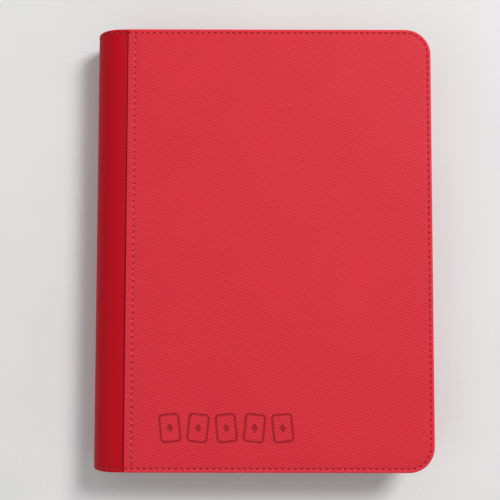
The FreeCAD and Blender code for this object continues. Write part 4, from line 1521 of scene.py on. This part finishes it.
    def make_teeth(self) -> None:
        """The two rows in mesh, and the last few teeth on the joined tape ends."""
        plan = self.plan
        low, high = box_mm("zip_tail_tapes")
        chain_x = high[0] + 0.1
        path = even_path(plan, chain_x, 1.0, self.wall_inset)
        count = int(path.length / self.pitch)
        for side, phase, flip in ((Side.FRONT, 0.75, 1.0), (Side.BACK, 0.25, -1.0)):
            flat, heading = follow(path, self.wall_inset, (np.arange(count) + phase) * self.pitch)
            name = side.value
            self.teeth_row(f"{name}_teeth", flat, heading, np.full(count, flip), f"{name}_zip_teeth",
                           f"{name}_cover")
        last = int((high[0] - low[0] - 1.5) / self.pitch)
        k = np.arange(last)
        x = chain_x - np.concatenate([k + 0.75, k[1:] + 0.25]) * self.pitch
        flat = np.column_stack([x, np.full(len(x), plan.half_y - self.wall_inset)])
        flip = np.concatenate([np.ones(last), -np.ones(last - 1)])
        self.teeth_row("tail_teeth", flat, np.tile([-1.0, 0.0], (len(x), 1)), flip, "zip_tail_teeth",
                       "back_cover")

    def make_stops(self) -> None:
        """Moulded end stops: superellipse blocks with rounded ends, waisted where the rows meet."""
        low, high = box_mm("zip_end_stops")
        line = self.plan.half_y - self.wall_inset
        middle, half = (low + high) / 2, (high - low) / 2
        level = np.array([-1, -0.96, -0.86, -0.3, -0.18, 0.18, 0.3, 0.86, 0.96, 1])
        size = np.array([0.72, 0.9, 1, 1, 0.88, 0.88, 1, 1, 0.9, 0.72])
        stop, faces = self.block(level * half[2], size * half[0], size * (high[1] - line), 20, 0.45)
        places = np.array([(middle[0], end * line, middle[2]) for end in (-1, 1)])
        piece = scatter("end_stops", stop, faces, places, np.tile(np.eye(3)[:, None, :], (1, 2, 1)))
        settle(piece, self.teeth, ["zip_end_stops"], "back_cover")

    def make_strap(self) -> None:
        """Leather pull: a rounded strap whose far end is a half round, with a seam along its edge."""
        low, high = box_mm("pull_strap")
        (_, mid_y, mid_z), (_, deep, half) = (low + high) / 2, (high - low) / 2
        end, sides = high[0], 36
        x = np.concatenate([low[0] + np.array([0, 0.15, 0.5, 1.0]), np.linspace(low[0] + 2, end - half, 16),
                            end - half + half * np.sin(np.linspace(0, 1, 15)[1:] * math.pi / 2)])
        wide = np.maximum(half - rounded(end - x, half), 0.1414)
        start = deep * (0.72 + 0.28 * (1 - rounded(x - low[0], 0.5) / 0.5))
        thick = start * np.minimum(1, 0.45 + wide / half)
        turn = np.arange(sides) * 2 * math.pi / sides
        c, s = squircle(turn, 0.35)
        inset = wide[:, None] * (1 - np.abs(c))
        groove = np.sign(s) * 0.18 * bell(inset - 1.2, 0.4) * (np.abs(np.sin(turn)) > 0.5)
        y, z = mid_y + thick[:, None] * s - groove, mid_z + wide[:, None] * c
        points = rows_of(x[:, None], y, z)
        plain = np.zeros(len(points))
        piece = make_piece("pull_leather", points, tube(len(x), sides), points[:, [0, 2]],
                           {"wear": plain, "pressed": plain})
        settle(piece, self.strap, ["pull_strap"], "pull")
        run = np.arange(low[0] + 2.5, end - half, 2.7)
        sewn = [(face, edge) for face in (-1, 1) for edge in (-1, 1)]
        places = [np.column_stack([run, np.full(len(run), mid_y + face * (deep - 0.05)),
                                   np.full(len(run), mid_z + edge * (half - 1.3))]) for face, edge in sewn]
        up = [np.tile([0.0, face, 0.0], (len(run), 1)) for face, _ in sewn]
        along = np.tile([1.0, 0.0, 0.0], (4 * len(run), 1))
        stitch = Stitch(length=2.0, radius=0.2, dive=0.3)
        piece = stitch.row("pull_seam", np.concatenate(places), along, np.concatenate(up))
        settle(piece, self.thread, (), "pull")


# ---------------------------------------------------------------- pages

@dataclass
class Pages:
    """Twenty pages of welded pockets, each one sheet from the clamp to its fore edge."""

    film: Material
    columns: int = 3
    rows: int = 3
    half: float = 0.22              # half a page's thickness at the pockets
    rim_half: float = 0.16          # outside them
    weld_half: float = 0.13
    weld: float = 1.6
    weld_margin: float = 2.4
    corner: float = 4.0
    slit: float = 4.0               # weld to the pocket's open edge
    slit_step: float = 0.05
    node_half: float = 0.25         # half the thickness of a page's CAD node
    weld_edge: tuple[float, float] = (0.6, 1.05)    # a weld's trough rises from one to the other
    bend_reach: float = 1.5         # the sheet turns this far each way of its bending line

    def build(self) -> None:
        """Makes every page."""
        names = sorted(node for node in frame["nodes"] if node.startswith("page_") and node[5:].isdigit())
        for name in names:
            self.page(name, name == names[0])

    def stations(self, low: float, high: float, cells: int) -> tuple[np.ndarray, np.ndarray]:
        """Places across a page, close together at each weld.

        Args:
            low: start of the first weld.
            high: end of the last weld.
            cells: pockets across.
        Returns:
            The places, and the middle of each weld.
        """
        lines = low + self.weld / 2 + (high - low - self.weld) * np.arange(cells + 1) / cells
        near = np.array([-1.5, -1.05, -0.75, -0.3, 0.3, 0.75, 1.05, 1.5])
        welds = (lines[:, None] + near).ravel()
        gaps = [np.linspace(a + 3.0, b - 3.0, 7) for a, b in zip(lines[:-1], lines[1:])]
        slits = (lines[:-1, None] + self.slit + np.array([-0.25, 0.25])).ravel()
        return np.unique(np.round(np.concatenate([welds, slits, *gaps]), 3)), lines

    def relief(self, gu: np.ndarray, gv: np.ndarray, u_lines: np.ndarray,
               v_lines: np.ndarray) -> tuple[np.ndarray, np.ndarray]:
        """Half thickness and weld mark over a page.

        It is the pockets' own half thickness less a smooth trough at each weld, and less a step from
        a weld to each pocket's open edge.

        Args:
            gu: distance from the bending line.
            gv: place along the spine.
            u_lines: middles of the welds along the spine.
            v_lines: middles of the welds across it.
        Returns:
            The half thickness, and a mark that is 1 on a weld.
        """
        in_u = (gu > u_lines[0] - 1) & (gu < u_lines[-1] + 1)
        in_v = (gv > v_lines[0] - 1) & (gv < v_lines[-1] + 1)
        on_u = 1 - smoothstep(np.min(np.abs(gu[..., None] - u_lines), 2), *self.weld_edge)
        on_v = 1 - smoothstep(np.min(np.abs(gv[..., None] - v_lines), 2), *self.weld_edge)
        mark = np.maximum(on_u * in_v, on_v * in_u)
        past = gu - np.max(np.where(u_lines <= gu[..., None], u_lines, -np.inf), 2)
        closed = (past > 0) & (past < self.slit) & in_v & (gu < u_lines[-1])
        half = self.half - self.slit_step * closed - (self.half - self.weld_half) * mark
        return np.where(in_u & in_v, half, self.rim_half), mark

    def page(self, node: str, first: bool) -> None:
        """One page, as an upper and a lower grid with a wall between.

        The sheet leaves the clamp level and slopes from its bending line.

        Args:
            node: the CAD node it stands for.
            first: whether it also stands for the pages' margins.
        """
        low, high = box_mm(node)
        pivot = joint_mm(f"{node}_turn")
        clamp_low, clamp_high = box_mm("binding_clamp_upper")
        rise = np.sign(high[2] + low[2] - 2 * pivot[2]) * (high[2] - low[2] - 2 * self.node_half)
        slope = math.atan2(rise, high[0] - pivot[0])
        length = (high[0] - pivot[0]) / math.cos(slope)
        y_half = high[1]
        reach = high[0] - joint_mm("page_11_turn")[0]
        u, u_lines = self.stations(length - reach + 0.35 + self.weld_margin, length - self.weld_margin,
                                   self.columns)
        v, v_lines = self.stations(-y_half + self.weld_margin, y_half - self.weld_margin, self.rows)
        margin = clamp_low[0] + 0.6 - pivot[0]
        bends = np.linspace(clamp_high[0] - pivot[0], min(u[0] - 0.6, 9.0), 14)
        u = np.unique(np.concatenate([[margin], bends, u, length - np.array([4, 3, 1.8, 0.9, 0.3, 0.0])]))
        v = np.concatenate([[-y_half, -y_half + 0.4], v, [y_half - 0.4, y_half]])
        gu, gv = np.meshgrid(u, v, indexing="ij")
        half, mark = self.relief(gu, gv, u_lines, v_lines)
        turned = smoothstep(gu, -self.bend_reach, self.bend_reach) * slope
        mid_x = pivot[0] + np.where(gu > 0, gu * math.cos(slope), gu)
        mid_z = pivot[2] + np.where(gu > 0, gu * math.sin(slope), 0)
        y = gv * (1 - rounded(length - u, self.corner) / y_half)[:, None]
        sides = [rows_of(mid_x - up * half * np.sin(turned), y, mid_z + up * half * np.cos(turned))
                 for up in (1, -1)]
        piece = make_piece(f"{node}_sheet", np.concatenate(sides), slab(*gu.shape),
                           np.tile(rows_of(gu, gv), (2, 1)), {"weld": np.tile(mark.ravel(), 2)})
        settle(piece, self.film, [node] + (["page_margins"] if first else []))
        near = pivot[0] - clamp_high[0]
        start, end = pivot[0] - min(near, 0.8 + 0.5 * near), pivot[0] + 2.2 + 0.5 * near
        start * MM
        end * MM
        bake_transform(piece)


# ---------------------------------------------------------------- carried-over parts

@dataclass
class Hardware:
    """CAD parts whose shape is right, each with its own finish."""

    finishes: dict[str, Material]

    def build(self) -> None:
        """Assigns each part's material to its slots."""
        for node, material in self.finishes.items():
            dress(frame["nodes"][node], material)
            LOG.info("%s dressed", node)


# ---------------------------------------------------------------- studio

@dataclass
class Studio:
    """Floor, lights and camera."""

    floor_half: float = 20000.0
    floor_gap: float = 0.05
    pale: Colour = (0.80, 0.80, 0.80)
    grey: Colour = (0.765, 0.765, 0.765)
    surround: float = 0.42          # strength of the light from all round
    eye: tuple[float, float, float] = (-11.0, -45.4, 718.4)
    turn: tuple[float, float, float] = (0.0643, -0.0016, 0.0022)    # tilt, swing and roll, in radians
    view_degrees: float = 31.97

    def build(self) -> None:
        """Makes the scene round the binder."""
        self.floor()
        self.lights()
        self.camera()
        bpy.context.scene.view_settings.view_transform = "Standard"

    def floor(self) -> None:
        """A wide plain tabletop just under the binder."""
        h = self.floor_half
        points = np.array([(-h, -h, 0), (h, -h, 0), (h, h, 0), (-h, h, 0)]) - [0, 0, self.floor_gap]
        mesh = bpy.data.meshes.new("tabletop")
        mesh.from_pydata((points * MM).tolist(), [], [(0, 1, 2, 3)])
        table = bpy.data.objects.new("tabletop", mesh)
        bpy.context.scene.collection.objects.link(table)
        dress(table, Tabletop("pale_plaster", self.pale, self.grey).material())

    def area(self, name: str, place: tuple[float, float, float], size: float, power: float,
             colour: Colour) -> None:
        """Adds a square soft light aimed at the binder's middle.

        Args:
            name: the light's name.
            place: where it is, in metres.
            size: its side in metres.
            power: its power in watts.
            colour: its colour.
        """
        light = bpy.data.lights.new(name, "AREA")
        light.size = size
        light.energy = power
        light.color = colour
        lamp = bpy.data.objects.new(name, light)
        lamp.location = place
        lamp.rotation_euler = (-lamp.location).to_track_quat("-Z", "Y").to_euler()
        bpy.context.scene.collection.objects.link(lamp)

    def lights(self) -> None:
        """A large key from the upper right, a weak fill from the left, and a pale surround."""
        self.area("key", (1.35, 1.25, 2.1), 0.85, 54.0, (1.0, 0.99, 0.98))
        self.area("fill", (-1.4, -0.6, 1.5), 1.6, 4.0, (0.97, 0.98, 1.0))
        world = bpy.data.worlds.new("surround")
        world.use_nodes = True
        shade = world.node_tree.nodes["Background"]
        shade.inputs["Color"].default_value = (1.0, 1.0, 1.0, 1.0)
        shade.inputs["Strength"].default_value = self.surround
        bpy.context.scene.world = world

    def camera(self) -> None:
        """Looks almost straight down, from a little nearer the foot."""
        lens = bpy.data.cameras.new("camera")
        lens.sensor_fit = "HORIZONTAL"
        lens.angle = math.radians(self.view_degrees)
        lens.clip_start = 0.01
        eye = bpy.data.objects.new("camera", lens)
        eye.location = [value * MM for value in self.eye]
        eye.rotation_mode = "ZYX"
        eye.rotation_euler = self.turn
        bpy.context.scene.collection.objects.link(eye)
        bpy.context.scene.camera = eye


# ---------------------------------------------------------------- the binder


def main() -> None:
    """Builds every sub-assembly in order."""
    logging.basicConfig(level=logging.INFO, format="%(name)s: %(message)s")
    plan = Layout.read()
    # grained leather: the face colour is paler as painted light on the ridges, the valley colour darker as
    # painted shade
    grained = Leatherette("grained_red", face=(0.95, 0.036, 0.066), valley=(0.28, 0.0005, 0.002)).material()
    smooth = Leatherette("smooth_red", face=(0.68, 0.010, 0.024), valley=(0.46, 0.004, 0.012),
                         grain=0.12, depth=0.05, roughness=0.42, specular=0.06).material()
    thread = Thread("red_thread", (0.95, 0.10, 0.13), (0.58, 0.020, 0.035)).material()
    dark_thread = Thread("dark_red_thread", (0.52, 0.018, 0.030), (0.28, 0.006, 0.012)).material()
    foam = Plastic("grey_foam", (0.16, 0.16, 0.17), (0.10, 0.10, 0.11), 0.95, texture=0.8,
                   depth=0.3).material()
    lining = Cloth("black_lining", (0.030, 0.030, 0.033), (0.009, 0.009, 0.010),
                   Weave.RIBBED, pitch=0.9).material()
    tape = Cloth("red_tape", (0.46, 0.014, 0.022), (0.20, 0.004, 0.007),
                 Weave.HERRINGBONE, pitch=0.62).material()
    teeth = Plastic("red_moulding", (0.46, 0.016, 0.024), (0.36, 0.010, 0.016), 0.3, coat=0.2).material()
    gunmetal = Plastic("gunmetal", (0.16, 0.16, 0.17), (0.11, 0.11, 0.12), 0.28, metallic=1.0).material()
    nickel = Plastic("nickel", (0.62, 0.61, 0.58), (0.50, 0.49, 0.47), 0.22, metallic=1.0).material()
    black = Plastic("black_clamp", (0.024, 0.024, 0.026), (0.014, 0.014, 0.015), 0.5, depth=0.05).material()
    board = Plastic("grey_board", (0.34, 0.31, 0.26), (0.24, 0.22, 0.18), 0.9, texture=0.7,
                    depth=0.1).material()
    film = PocketFilm("pocket_film").material()

    Cover(plan, Side.FRONT, grained, thread, foam, lining, emblem=Emblem()).build()
    Cover(plan, Side.BACK, grained, thread, foam, lining).build()
    Spine(plan, smooth, dark_thread, foam, lining).build()
    Zip(plan, tape, teeth, smooth, thread).build()
    Pages(film).build()
    Hardware({
        "front_cover_board": board, "back_cover_board": board,
        "front_inner_card": board, "back_inner_card": board,
        "zip_slider": gunmetal, "pull_tab": gunmetal, "pull_rivet": gunmetal,
        "binding_strip": lining, "binding_clamp_upper": black, "binding_clamp_lower": black,
        "binding_post_barrels": nickel, "binding_post_screws": nickel,
    }).build()
    Studio().build()


if __name__ == "__main__":
    main()
